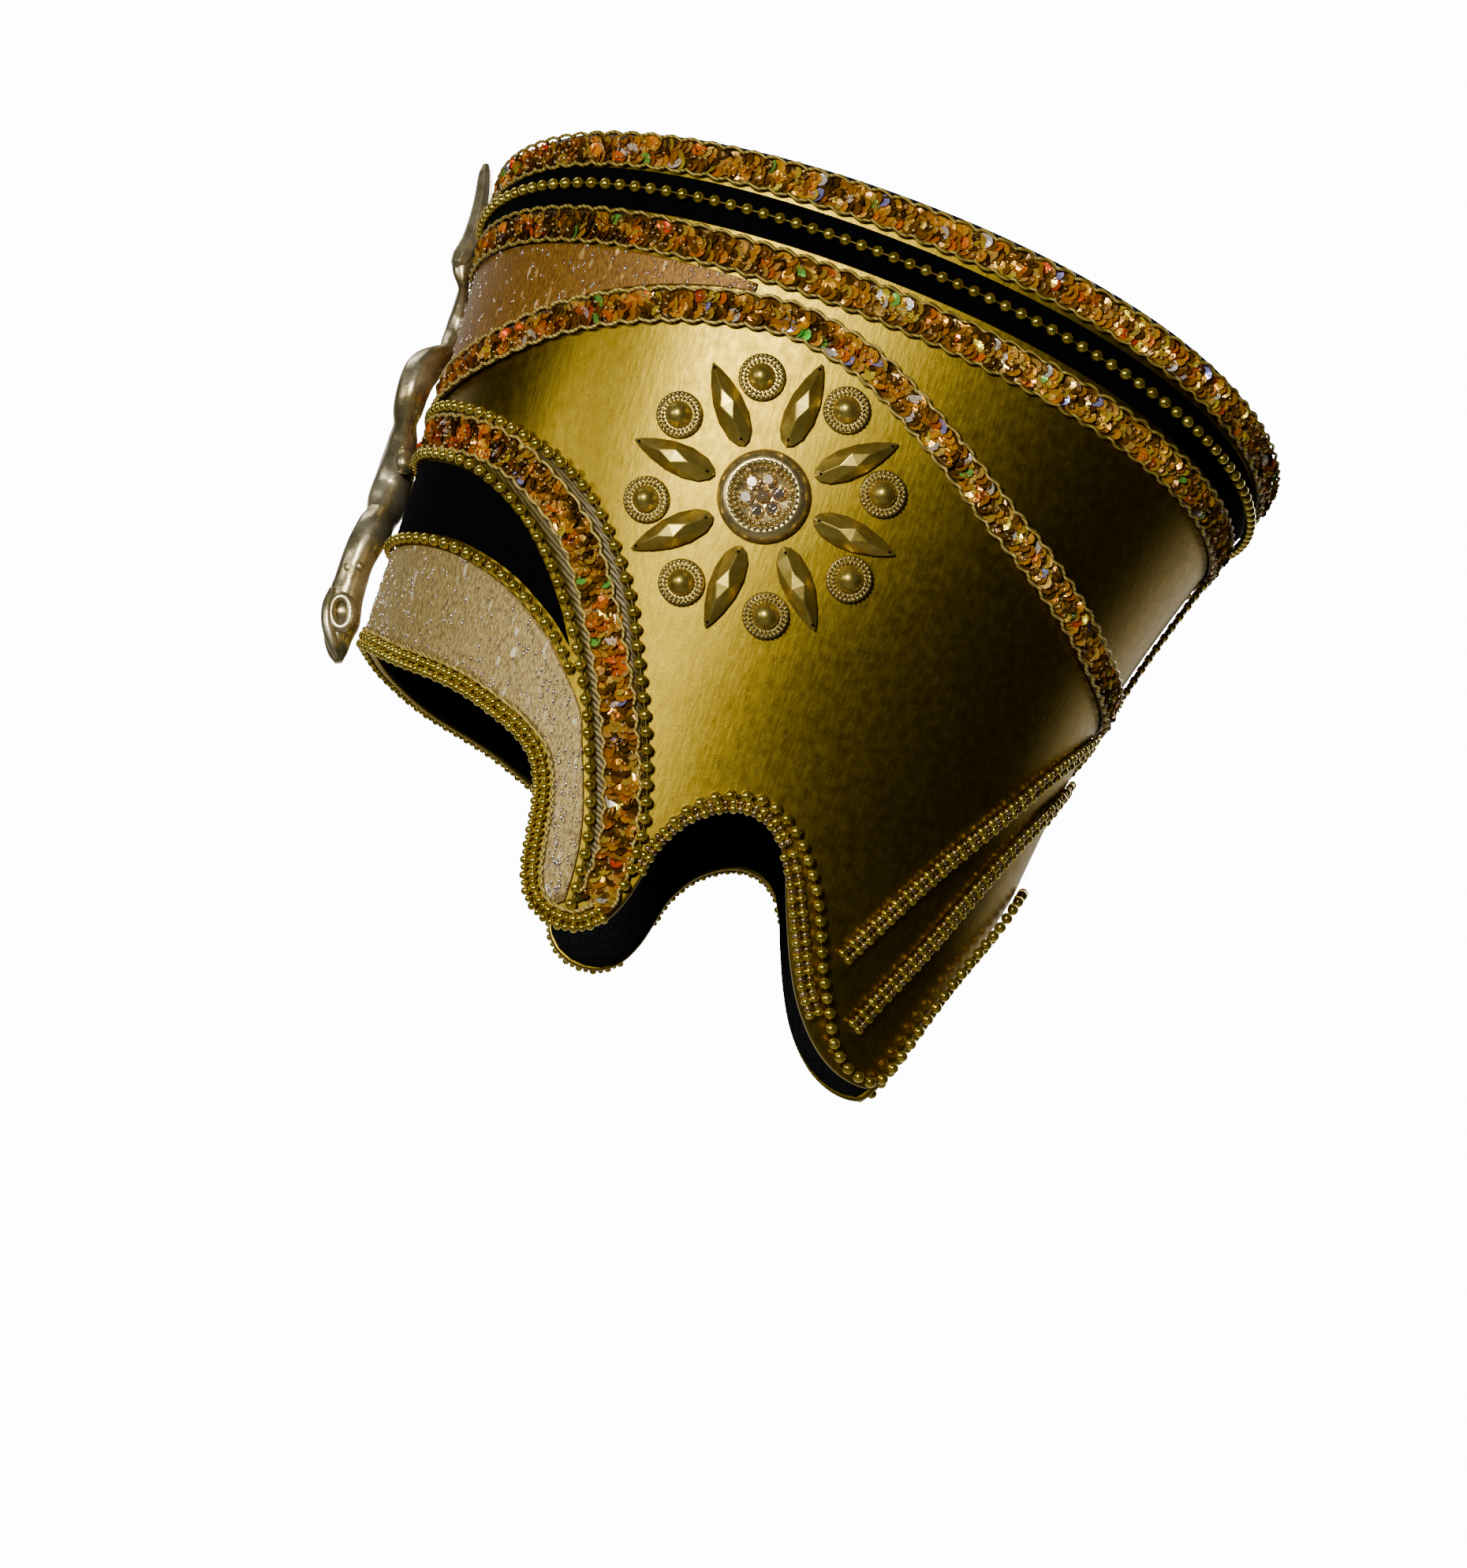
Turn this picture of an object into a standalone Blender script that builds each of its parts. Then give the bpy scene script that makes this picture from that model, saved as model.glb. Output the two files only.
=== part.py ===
"""Costume crown headdress: a tall, flat-topped, flared cap with bead and sequin trims.

Worn level, the crown leans back. X runs to the wearer's left, -Y to the front and +Z up.
The origin lies in the mid plane inside the cap, level with the front of its brow edge.
Tables and sizes are in millimetres and degrees, and metres are made in wall_point and mm.
"""
import bpy
import bmesh
from math import cos, hypot, pi, radians, sin
from mathutils import Matrix, Vector

MM = 0.001

# Side view of the wall, drawn on the mid plane, one row for each level:
# height up the wall, front y, front z, back y, back z, half width, rise at the sides, squareness
WALL_LEVELS = [
    (0, -116.0, -70, 104.0, -164, 70, 0, 0.02),
    (75, -93.2, 0, 137.0, -89, 82, 0, 0.03),
    (155, -68.5, 81, 173.0, -21, 99, 5, 0.06),
    (245, -46.0, 164, 229.5, 55, 117, 15, 0.07),
]
RIM_HEIGHT = 245
SHELL_TOP = 244

WALL_THICKNESS = 2.5
LINING_THICKNESS = 1.0
LINING_DEPTH = 3.3
LINING_HEM_RISE = 1.0
LINING_TOP = 240
TOP_THICKNESS = 1.5
TOP_GAP = 0.3
SEAT = 0.65

# Lower edge of the cap on one side: angle from the front, height up the wall
HEM = [
    (0, 73), (18, 69.5), (34, 65.5), (45, 63.8), (52, 62), (58, 59), (64, 55), (68, 50), (70, 44),
    (71.3, 36), (72.2, 26), (73.2, 16), (75, 8), (78, 3), (82, 1.5), (86, 3.5), (89, 9),
    (91, 18), (92, 28), (92.7, 36), (94.2, 43), (96, 48.5), (98.5, 53), (101, 56), (104.3, 57.5),
    (107.7, 56), (110.5, 52), (112.7, 46), (115.4, 35), (119, 22), (123, 11), (127.5, 3),
    (132.5, -2.5), (138, -5.3), (144, -5.6), (147.6, -3.5), (150.5, 5), (154, 20.5), (159, 37),
    (167, 54), (180, 73),
]

# Trims round the rim: lower and upper edge up the wall
RIM_TRIM = (233.6, 245)
BLACK_BAND = (219.9, 233.2)
LOWER_TRIM = (207.5, 219.5)
BAND_STRING_HEIGHT = 227
SEQUIN_THICKNESS = 1.6
BAND_THICKNESS = 0.8
BEAD_RADIUS = 1.65

# Sequin trim that arches over each side, from the front centre to the back seam
SIDE_TRIM = [
    (0, 160.5), (10, 161.2), (20, 163.3), (28, 167), (36, 172), (48, 182), (60, 190.5), (71, 196.5),
    (81, 199.8), (88, 198.5), (95, 195), (107, 184.5), (120, 173), (129, 167), (137, 162), (146, 157),
    (154, 153), (168, 149.5), (180, 148.5),
]
SIDE_TRIM_WIDTH = 11.5
FRONT_PANEL_END = 76
PANEL_THICKNESS = 0.7
PANEL_GAP = 0.6

# Brow: rows of the arches that start at the front centre and run down to the cheek flap
BROW_OUTER_BEADS = [
    (0, 152.3), (12, 152.1), (24, 151.2), (32, 149.4), (38, 147.6), (45, 144.8), (52, 141), (58, 137),
    (64, 130.5), (68, 123.5), (72, 115), (76, 104), (79, 92.5), (82.2, 80), (85, 68), (87.5, 55),
    (89.3, 43), (89.9, 32), (89.8, 22),
]
BROW_TRIM = [
    (0, 144.3), (9, 144), (29, 141.5), (39.5, 139.3), (48, 135.5), (54, 130.5), (60, 124),
    (64.5, 117), (68.3, 108), (72.2, 97), (75.7, 86), (79, 74), (82, 61), (84.6, 48), (86.3, 36),
    (86.9, 24.5), (86.6, 14),
]
BROW_INNER_BEADS = [
    (0, 137), (12, 136.5), (30, 133.8), (39, 131), (45, 127.5), (50, 123.5), (54.5, 118.5),
    (58.5, 112.5), (62.5, 105), (66, 97), (69.2, 88.5), (72, 79.5), (74.6, 70), (76.8, 60),
    (79, 49.5), (80.9, 39), (82.2, 28.5), (82.8, 18.5), (83, 10),
]
DIVIDER_BEADS = [
    (0, 107), (13, 107), (24, 107), (32, 106.8), (39, 106), (45, 104.3), (51, 101.7), (56, 98.3),
    (60, 94.5), (64, 90), (67.5, 84.5), (69.6, 80.2),
]
BROW_TRIM_WIDTH = 8.6
# The black crescent ends at this angle, and the cheek flap's panel is below this height
CRESCENT_END = 67
CHEEK_FLAP_TOP = 76
CHEEK_FLAP_EDGE = 80
BEAD_ROW_GAP = 0.4
DOUBLE_ROW_WIDTH = 4.8
DOUBLE_ROW_THICKNESS = 2.0
DOUBLE_ROW_INSET = 2.8
EDGE_BEADS_END = 90
BACK_SEAM_WIDTH = 5.0
BACK_SEAM = [(180, 206.5), (180, 156)]

# Round beads round the ear notch, the neck flap and the back edge
HEM_BEADS = [
    (93.6, 46.5), (95.3, 52.5), (98, 58), (101.5, 61.5), (105, 62.8), (109, 61), (113, 56), (116, 50),
    (119.3, 42), (122.3, 32), (125.5, 21), (129, 12), (133.2, 2.4), (138.2, -2.2), (143.7, -2.8),
    (146.5, -1.0), (149.1, 6.6), (152.6, 21.9), (157.7, 38.9), (166, 56.3), (180, 75.6),
]
# Finer double rows: behind the ear, and slanting across the neck flap to the back seam
EAR_ROWS = [(112.4, 50), (114.7, 44), (117.4, 35), (120.8, 24), (124, 14.5), (127, 8.8)]
NAPE_UPPER_ROW = [
    (128.5, 28.5), (132, 40), (138, 59), (145, 78), (152, 95), (158, 109), (167, 125), (180, 137.5),
]
NAPE_LOWER_ROW = [
    (136, 10.5), (140, 25), (145, 41), (150, 58), (156, 77), (162, 92), (169, 106), (180, 118),
]

# Rosette on each side, from its centre: what turns with it is measured on the wall
ROSETTE_CENTRE = (88.2, 148.3)
PETAL_INNER_RADIUS = 17.5
PETAL_OUTER_RADIUS = 47.5
PETAL_WIDTH = 10.6
PETAL_HEIGHT = 5.6
PETAL_FIRST_ANGLE = 89
CABOCHON_RING_RADIUS = 39
CABOCHON_FIRST_ANGLE = 114
PETALS = 8
STONE_SEAT = 0.5
DISC_SIDES = 16
CABOCHON_SIDES = 10

# Half sections of the turned stones, from the middle of the top: radius, height
DISC_PROFILE = [(0, 6.6), (7.6, 5.2), (8.5, 4.1), (11.2, 4.5), (15.5, 1.2), (15.5, 0), (0, 0)]
CABOCHON_PROFILE = [(0, 6.1), (3.5, 4.4), (4.6, 1.8), (7.2, 2.0), (7.8, 0), (0, 0)]
# One side of a petal's outline: share of its length from the middle, share of its half width
PETAL_OUTLINE = [(-0.5, 0), (-0.4, 0.72), (-0.12, 1.0), (0.24, 0.66), (0.5, 0)]
# Foot, girdle and table of a petal: size against the outline, height
PETAL_LEVELS = [(1.0, 0.0), (1.0, 1.2), (0.4, PETAL_HEIGHT)]

# Serpent, from the tail spike at the top to the snout: x, y, z, half width, half thickness
SERPENT = [
    (0, -53.1, 178.6, 1.4, 1.3), (0, -53.2, 173, 2.4, 2.4), (0, -54.1, 165, 3.0, 3.0),
    (0.5, -55.7, 157, 3.2, 3.3), (1, -57.8, 149, 3.4, 3.3), (1, -60.3, 143, 4.0, 4.1),
    (1, -61.0, 139, 4.2, 3.9), (-1, -60.9, 133, 4.6, 2.3), (-5, -61.8, 128, 5.2, 2.9),
    (-8, -62.9, 122, 5.6, 4.1), (-8, -64.3, 115.5, 5.6, 4.3), (-4, -66.2, 109.5, 5.4, 3.9),
    (3, -69.5, 104.5, 5.8, 4.4), (7, -72.8, 100.5, 6.6, 5.6), (10, -75.6, 95.5, 7.2, 5.9),
    (10, -78.0, 89, 7.2, 5.7), (6, -80.1, 82.5, 7.0, 5.3), (0, -81.9, 75.5, 6.8, 5.3),
    (-6, -83.9, 68.5, 7.2, 6.5), (-9, -86.2, 61.5, 7.6, 6.9), (-8, -87.9, 54.5, 7.6, 7.0),
    (-4, -89.3, 48, 7.4, 6.4), (0, -91.6, 42, 7.2, 6.3), (1.5, -94.9, 35.5, 7.0, 6.1),
    (1.5, -97.5, 29.5, 6.6, 5.8), (0.5, -99.8, 22.5, 6.6, 5.9), (0, -101.8, 15.5, 7.2, 6.3),
    (0, -102.6, 9, 7.4, 6.3), (0, -103.9, 2.5, 6.2, 5.1), (0, -104.0, -3, 4.4, 3.5),
    (0, -103.6, -6.6, 1.6, 1.4),
]
SERPENT_SIDES = 10

SHELL_COLUMNS = 90
WALL_ROWS = 6
RIM_SPREAD = 0.55
LINING_COLUMNS = 60
RING_STATIONS = 52
STRING_FRONT_END = 4.5
STRING_SIDES_RESOLUTION = 1
# Number of cross sections along each ribbon, panel and string
SECTIONS = {
    "band_bead_string": RING_STATIONS,
    "side_sequin_trim": 64,
    "front_glitter_panel": 21,
    "brow_outer_beads": 40,
    "brow_sequin_trim": 42,
    "brow_inner_beads": 38,
    "brow_divider_beads": 22,
    "brow_black_panel": 21,
    "brow_glitter_panel": 37,
    "brow_edge_beads": 60,
    "hem_bead_string": 64,
    "ear_double_row_left": 10,
    "ear_double_row_right": 10,
    "nape_upper_row": 28,
    "nape_lower_row": 28,
    "back_seam_braid": 6,
}
# Millimetres in a degree round the wall, small steps for slopes, and samples along a path
DEGREE_LENGTH = 1.8
NEARBY = 0.1
PATH_SAMPLES = 600
SEARCH_STEPS = 6

# Colour (linear red, green, blue), roughness and metallic value of each finish
FINISHES = {
    "gold_paint": ((0.36, 0.25, 0.055), 0.38, 0.75),
    "black_lining": ((0.012, 0.011, 0.010), 0.90, 0.0),
    "black_velvet": ((0.008, 0.008, 0.009), 0.95, 0.0),
    "copper_sequins": ((0.45, 0.19, 0.04), 0.35, 0.6),
    "copper_glitter": ((0.38, 0.20, 0.08), 0.50, 0.4),
    "rose_glitter": ((0.50, 0.32, 0.20), 0.50, 0.4),
    "bright_gold_beads": ((0.62, 0.47, 0.10), 0.22, 1.0),
    "cast_gold": ((0.60, 0.45, 0.17), 0.30, 1.0),
    "gold_stone": ((0.50, 0.36, 0.11), 0.28, 0.9),
}


def mm(vector):
    """Metres from a vector in millimetres."""
    return Vector(vector) * MM


def smooth(rows, t):
    """The row at t, on a smooth curve through rows whose first column is the parameter."""
    i = 0
    while i < len(rows) - 2 and t > rows[i + 1][0]:
        i += 1

    def slope(j):
        low, high = rows[max(j - 1, 0)], rows[min(j + 1, len(rows) - 1)]
        return [(b - a) / (high[0] - low[0]) for a, b in zip(low, high)]

    step = rows[i + 1][0] - rows[i][0]
    u = (t - rows[i][0]) / step
    weights = (2 * u**3 - 3 * u**2 + 1, (u**3 - 2 * u**2 + u) * step,
               3 * u**2 - 2 * u**3, (u**3 - u**2) * step)
    columns = zip(rows[i], slope(i), rows[i + 1], slope(i + 1))
    return [sum(k * value for k, value in zip(weights, column)) for column in columns]


def wall_position(angle, height):
    """Point of the wall's outer face in millimetres, by angle from the front and height up it."""
    _, front_y, front_z, back_y, back_z, half_width, rise, square = smooth(WALL_LEVELS, height)
    a = radians(angle)
    half_y, half_z = (back_y - front_y) / 2, (back_z - front_z) / 2
    half_length = hypot(half_y, half_z)
    lift = rise * sin(a) ** 2
    x = half_width * (sin(a) + square * sin(3 * a)) / (1 - square)
    y = (front_y + back_y) / 2 - half_y * cos(a) - half_z / half_length * lift
    z = (front_z + back_z) / 2 - half_z * cos(a) + half_y / half_length * lift
    return Vector((x, y, z))


def wall_frame(angle, height):
    """Point of the wall with its outward normal and the direction up the wall."""
    point = wall_position(angle, height)
    along = wall_position(angle + NEARBY, height) - wall_position(angle - NEARBY, height)
    up = wall_position(angle, height + NEARBY) - wall_position(angle, height - NEARBY)
    normal = along.cross(up).normalized()
    return point, normal, up.normalized()


def wall_point(angle, height, out=0.0):
    """Point in metres that stands out from the wall by out millimetres."""
    point, normal, _ = wall_frame(angle, height)
    return mm(point + normal * out)


def across_front(half):
    """Path from one side to the other through the front, from the rows of one side."""
    return [(-angle, height) for angle, height in reversed(half) if angle > 0] + list(half)


def across_back(half):
    """Path from one side to the other through the back, from the rows of one side."""
    return list(half) + [(360 - angle, height) for angle, height in reversed(half) if angle < 180]


def stations(rows, count, closed=False):
    """Places evenly spaced along a smooth path on the wall."""
    if closed:
        turn = 360 if rows[-1][0] > rows[0][0] else -360
        before = [(a - turn, w) for a, w in rows[-3:-1]]
        after = [(a + turn, w) for a, w in rows[1:3]]
        rows = before + list(rows) + after
    table = [(0.0, *rows[0])]
    for (a0, w0), (a1, w1) in zip(rows, rows[1:]):
        table.append((table[-1][0] + hypot((a1 - a0) * DEGREE_LENGTH, w1 - w0), a1, w1))
    first, last = (2, len(rows) - 3) if closed else (0, len(rows) - 1)
    start, end = table[first][0], table[last][0]
    samples = [start + (end - start) * i / PATH_SAMPLES for i in range(PATH_SAMPLES + 1)]
    fine = [smooth(table, sample)[1:] for sample in samples]
    run = [0.0]
    for here, there in zip(fine, fine[1:]):
        run.append(run[-1] + (wall_position(*there) - wall_position(*here)).length)
    places = []
    i = 0
    for k in range(count):
        target = run[-1] * k / (count if closed else count - 1)
        while i < len(run) - 2 and run[i + 1] < target:
            i += 1
        share = (target - run[i]) / (run[i + 1] - run[i])
        places.append(tuple(a + (b - a) * share for a, b in zip(fine[i], fine[i + 1])))
    return places


def height_on(rows, angle):
    """Height of a half path at an angle, read along straight pieces."""
    for (a0, w0), (a1, w1) in zip(rows, rows[1:]):
        if a0 <= angle <= a1:
            return w0 + (w1 - w0) * (angle - a0) / (a1 - a0)
    return rows[-1][1]


def finish(name):
    """The named finish, made once."""
    material = bpy.data.materials.get(name)
    if material is None:
        colour, roughness, metallic = FINISHES[name]
        material = bpy.data.materials.new(name)
        material.use_nodes = True
        shader = material.node_tree.nodes["Principled BSDF"]
        shader.inputs["Base Color"].default_value = (*colour, 1)
        shader.inputs["Roughness"].default_value = roughness
        shader.inputs["Metallic"].default_value = metallic
        material.diffuse_color = (*colour, 1)
    return material


def add_object(name, data, material):
    """Object in the crown's collection with its material."""
    item = bpy.data.objects.new(name, data)
    bpy.data.collections["costume_crown"].objects.link(item)
    data.materials.append(finish(material))
    return item


def add_sheet(name, material, grid, thickness, outward=True, closed=False):
    """Thin solid on a grid of points: rows run along the wall and columns up it."""
    mesh = bpy.data.meshes.new(name)
    bm = bmesh.new()
    rows = [[bm.verts.new(point) for point in row] for row in grid]
    pairs = list(zip(rows, rows[1:]))
    if closed:
        pairs.append((rows[-1], rows[0]))
    for row, following in pairs:
        for j in range(len(row) - 1):
            bm.faces.new((row[j], following[j], following[j + 1], row[j + 1]))
    bm.to_mesh(mesh)
    bm.free()
    item = add_object(name, mesh, material)
    add_thickness(item, thickness, outward)
    mesh.shade_smooth()
    return item


def add_thickness(item, thickness, outward=True):
    """Solidify to one side of the object's surface."""
    solidify = item.modifiers.new("thickness", "SOLIDIFY")
    solidify.thickness = thickness * MM
    solidify.offset = 1 if outward else -1


def add_strip(name, material, rows, width, thickness, closed=False):
    """Flat ribbon that lies on the wall along a path."""
    path = stations(rows, SECTIONS[name], closed)
    count = len(path)
    points = [wall_position(*place) for place in path]
    grid = []
    for i, place in enumerate(path):
        following = points[(i + 1) % count] if closed or i < count - 1 else points[i]
        before = points[i - 1] if closed or i > 0 else points[i]
        _, normal, _ = wall_frame(*place)
        side = normal.cross(following - before).normalized() * width / 2
        middle = points[i] + normal * SEAT
        grid.append([mm(middle - side), mm(middle + side)])
    return add_sheet(name, material, grid, thickness, closed=closed)


def add_ring(name, material, edges, thickness):
    """Ribbon round the whole cap between two heights up the wall."""
    low, high = edges
    angles = [360 * i / RING_STATIONS for i in range(RING_STATIONS)]
    grid = [[wall_point(a, low, SEAT), wall_point(a, high, SEAT)] for a in angles]
    return add_sheet(name, material, grid, thickness, closed=True)


def add_panel(name, material, lower, upper, rows):
    """Fabric panel on the wall between two paths."""
    low_edge, high_edge = stations(lower, SECTIONS[name]), stations(upper, SECTIONS[name])
    shares = [j / rows for j in range(rows + 1)]
    grid = []
    for (a0, w0), (a1, w1) in zip(low_edge, high_edge):
        grid.append([wall_point(a0 + (a1 - a0) * t, w0 + (w1 - w0) * t, SEAT) for t in shares])
    return add_sheet(name, material, grid, PANEL_THICKNESS)


def add_string(name, rows, out):
    """Tube in the place of a string of round beads, its middle line out from the wall."""
    path = stations(rows, SECTIONS[name])
    curve = bpy.data.curves.new(name, "CURVE")
    curve.dimensions = "3D"
    curve.bevel_depth = BEAD_RADIUS * MM
    curve.bevel_resolution = STRING_SIDES_RESOLUTION
    curve.use_fill_caps = True
    spline = curve.splines.new("POLY")
    spline.points.add(len(path) - 1)
    for point, place in zip(spline.points, path):
        point.co = (*wall_point(*place, out), 1)
    return add_object(name, curve, "bright_gold_beads")


def inset(rows, distance):
    """Path moved up the wall from the hem by a distance, at right angles to it."""
    moved = []
    for i, (angle, height) in enumerate(rows):
        before, following = rows[max(i - 1, 0)], rows[min(i + 1, len(rows) - 1)]
        run = (following[0] - before[0]) * DEGREE_LENGTH
        climb = following[1] - before[1]
        length = hypot(run, climb)
        moved.append((angle - distance * climb / length / DEGREE_LENGTH, height + distance * run / length))
    return moved


def wall_grid(columns, top, depth=0.0, hem_rise=0.0):
    """Grid of points from the shaped hem to the top, whose columns spread evenly as they rise."""
    hem = stations(across_back(HEM), columns, closed=True)
    grid = []
    for i, (angle, height) in enumerate(hem):
        low = height + hem_rise
        drift = (360 * i / columns - angle) * RIM_SPREAD
        row = []
        for j in range(WALL_ROWS + 1):
            share = j / WALL_ROWS
            turned_to = angle + drift * share * share * (3 - 2 * share)
            row.append(wall_point(turned_to, low + (top - low) * share, -depth))
        grid.append(row)
    return grid


def add_wall():
    """Stiff outer wall, and the black cloth inside it, a little shorter at the hem and the rim."""
    add_sheet("crown_shell", "gold_paint", wall_grid(SHELL_COLUMNS, SHELL_TOP),
              WALL_THICKNESS, outward=False, closed=True)
    lining = wall_grid(LINING_COLUMNS, LINING_TOP, LINING_DEPTH, LINING_HEM_RISE)
    add_sheet("crown_lining", "black_lining", lining, LINING_THICKNESS, outward=False, closed=True)


def add_top():
    """Flat top, straight from side to side and bowed from front to back as the rim is."""
    mesh = bpy.data.meshes.new("crown_top")
    bm = bmesh.new()
    count = RING_STATIONS
    ring = [bm.verts.new(wall_point(360 * i / count, RIM_HEIGHT + TOP_GAP)) for i in range(count)]
    for i in range(count // 2):
        corners = [ring[i], ring[i + 1], ring[(count - i - 1) % count], ring[(count - i) % count]]
        bm.faces.new(list(dict.fromkeys(corners)))
    bm.to_mesh(mesh)
    bm.free()
    item = add_object("crown_top", mesh, "black_lining")
    add_thickness(item, TOP_THICKNESS)


def add_rim_trims():
    """Two sequin ribbons with the black band and its string of beads between them."""
    add_ring("rim_sequin_trim", "copper_sequins", RIM_TRIM, SEQUIN_THICKNESS)
    add_ring("black_band", "black_velvet", BLACK_BAND, BAND_THICKNESS)
    add_ring("lower_sequin_trim", "copper_sequins", LOWER_TRIM, SEQUIN_THICKNESS)
    ends = [(STRING_FRONT_END, BAND_STRING_HEIGHT), (360 - STRING_FRONT_END, BAND_STRING_HEIGHT)]
    out = SEAT + BAND_THICKNESS + BEAD_ROW_GAP + BEAD_RADIUS
    add_string("band_bead_string", ends, out)


def add_side_trim():
    """Sequin ribbon that arches over both sides, with the glitter panel above it in front."""
    add_strip("side_sequin_trim", "copper_sequins", across_back(SIDE_TRIM), SIDE_TRIM_WIDTH,
              SEQUIN_THICKNESS, closed=True)
    clear = SIDE_TRIM_WIDTH / 2 + PANEL_GAP
    front = [row for row in SIDE_TRIM if row[0] < FRONT_PANEL_END]
    front.append((FRONT_PANEL_END, height_on(SIDE_TRIM, FRONT_PANEL_END)))
    lower = inset(across_front(front), clear)
    top = LOWER_TRIM[0] - PANEL_GAP
    upper = [(angle, top) for angle, _ in lower]
    add_panel("front_glitter_panel", "copper_glitter", lower, upper, rows=1)


def add_brow():
    """Arched brow band: beads, sequins, beads, a black crescent and the glitter panel."""
    on_wall = SEAT + BEAD_RADIUS
    add_string("brow_outer_beads", across_front(BROW_OUTER_BEADS), on_wall)
    add_strip("brow_sequin_trim", "copper_sequins", across_front(BROW_TRIM),
              BROW_TRIM_WIDTH, SEQUIN_THICKNESS)
    add_string("brow_inner_beads", across_front(BROW_INNER_BEADS), on_wall)
    add_string("brow_divider_beads", across_front(DIVIDER_BEADS), on_wall)

    beside = BEAD_RADIUS + PANEL_GAP
    crescent = [row for row in BROW_INNER_BEADS if row[0] < CRESCENT_END]
    crescent_top = inset(across_front(crescent), -beside)
    crescent_low = inset(across_front(DIVIDER_BEADS[:-1]), beside)
    add_panel("brow_black_panel", "black_velvet", crescent_low, crescent_top, rows=2)
    flap = [row for row in BROW_INNER_BEADS if row[1] < CHEEK_FLAP_TOP]
    panel_top = inset(across_front(DIVIDER_BEADS[:-1] + flap), -beside)
    edge = [row for row in HEM if row[0] < CHEEK_FLAP_EDGE]
    above_edge = DOUBLE_ROW_INSET + DOUBLE_ROW_WIDTH / 2 + PANEL_GAP + BEAD_ROW_GAP
    panel_low = inset(across_front(edge), above_edge)
    add_panel("brow_glitter_panel", "rose_glitter", panel_low, panel_top, rows=2)


def add_edge_rows():
    """Double rows of fine beads at the edges, and the round beads from ear to ear."""
    edge = [row for row in HEM if row[0] < EDGE_BEADS_END]
    double_rows = {
        "brow_edge_beads": inset(across_front(edge), DOUBLE_ROW_INSET),
        "ear_double_row_left": EAR_ROWS,
        "ear_double_row_right": [(-angle, height) for angle, height in reversed(EAR_ROWS)],
        "nape_upper_row": across_back(NAPE_UPPER_ROW),
        "nape_lower_row": across_back(NAPE_LOWER_ROW),
    }
    for name, rows in double_rows.items():
        add_strip(name, "bright_gold_beads", rows, DOUBLE_ROW_WIDTH, DOUBLE_ROW_THICKNESS)
    add_strip("back_seam_braid", "bright_gold_beads", BACK_SEAM, BACK_SEAM_WIDTH,
              DOUBLE_ROW_THICKNESS)
    add_string("hem_bead_string", across_back(HEM_BEADS), SEAT + BEAD_RADIUS)


def turned(name, material, profile, sides, matrix):
    """Solid turned about its own Z from a profile of (radius, height), top to bottom."""
    mesh = bpy.data.meshes.new(name)
    bm = bmesh.new()
    rings = []
    for radius, height in profile:
        count = 1 if radius == 0 else sides
        rings.append([bm.verts.new((radius * MM * cos(2 * pi * k / count),
                                    radius * MM * sin(2 * pi * k / count), height * MM))
                      for k in range(count)])
    for upper, lower in zip(rings, rings[1:]):
        for k in range(sides):
            corners = [upper[k % len(upper)], lower[k % len(lower)],
                       lower[(k + 1) % len(lower)], upper[(k + 1) % len(upper)]]
            bm.faces.new(list(dict.fromkeys(corners)))
    bm.to_mesh(mesh)
    bm.free()
    item = add_object(name, mesh, material)
    item.matrix_world = matrix
    return item


def petal_mesh():
    """Pointed stone with a long table and eight facets round it; its point is at +X."""
    length = PETAL_OUTER_RADIUS - PETAL_INNER_RADIUS
    half = PETAL_WIDTH / 2
    outline = PETAL_OUTLINE + [(x, -y) for x, y in reversed(PETAL_OUTLINE[1:-1])]
    mesh = bpy.data.meshes.new("rosette_petal")
    bm = bmesh.new()
    rings = []
    for scale, height in PETAL_LEVELS:
        rings.append([bm.verts.new((x * length * scale * MM, y * half * scale * MM, height * MM))
                      for x, y in outline])
    bm.faces.new(rings[0])
    bm.faces.new(list(reversed(rings[-1])))
    count = len(outline)
    for lower, upper in zip(rings, rings[1:]):
        for k in range(count):
            following = (k + 1) % count
            bm.faces.new((lower[k], upper[k], upper[following], lower[following]))
    bm.to_mesh(mesh)
    bm.free()
    mesh.materials.append(finish("gold_stone"))
    return mesh


def on_wall_near(centre, angle, radius):
    """Place on the wall at a distance and direction from a centre, angle 90 being up the wall."""
    point, normal, up = wall_frame(*centre)
    across = up.cross(normal).normalized()
    target = point + (across * cos(radians(angle)) + up * sin(radians(angle))) * radius
    place = list(centre)
    for _ in range(SEARCH_STEPS):
        here, _, climb = wall_frame(*place)
        ahead = wall_position(place[0] + 1, place[1]) - here
        gap = target - here
        place[0] += gap.dot(ahead) / ahead.dot(ahead)
        place[1] += gap.dot(climb)
    return place


def stone_frame(place, towards=None, mirror=1):
    """Matrix of a stone seated on the wall, its X axis turned towards a point."""
    point, normal, up = wall_frame(mirror * place[0], place[1])
    forward = up if towards is None else towards - point
    across = (forward - normal * forward.dot(normal)).normalized()
    axes = Matrix((across, normal.cross(across), normal)).transposed().to_4x4()
    return Matrix.Translation(mm(point + normal * STONE_SEAT)) @ axes


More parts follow.
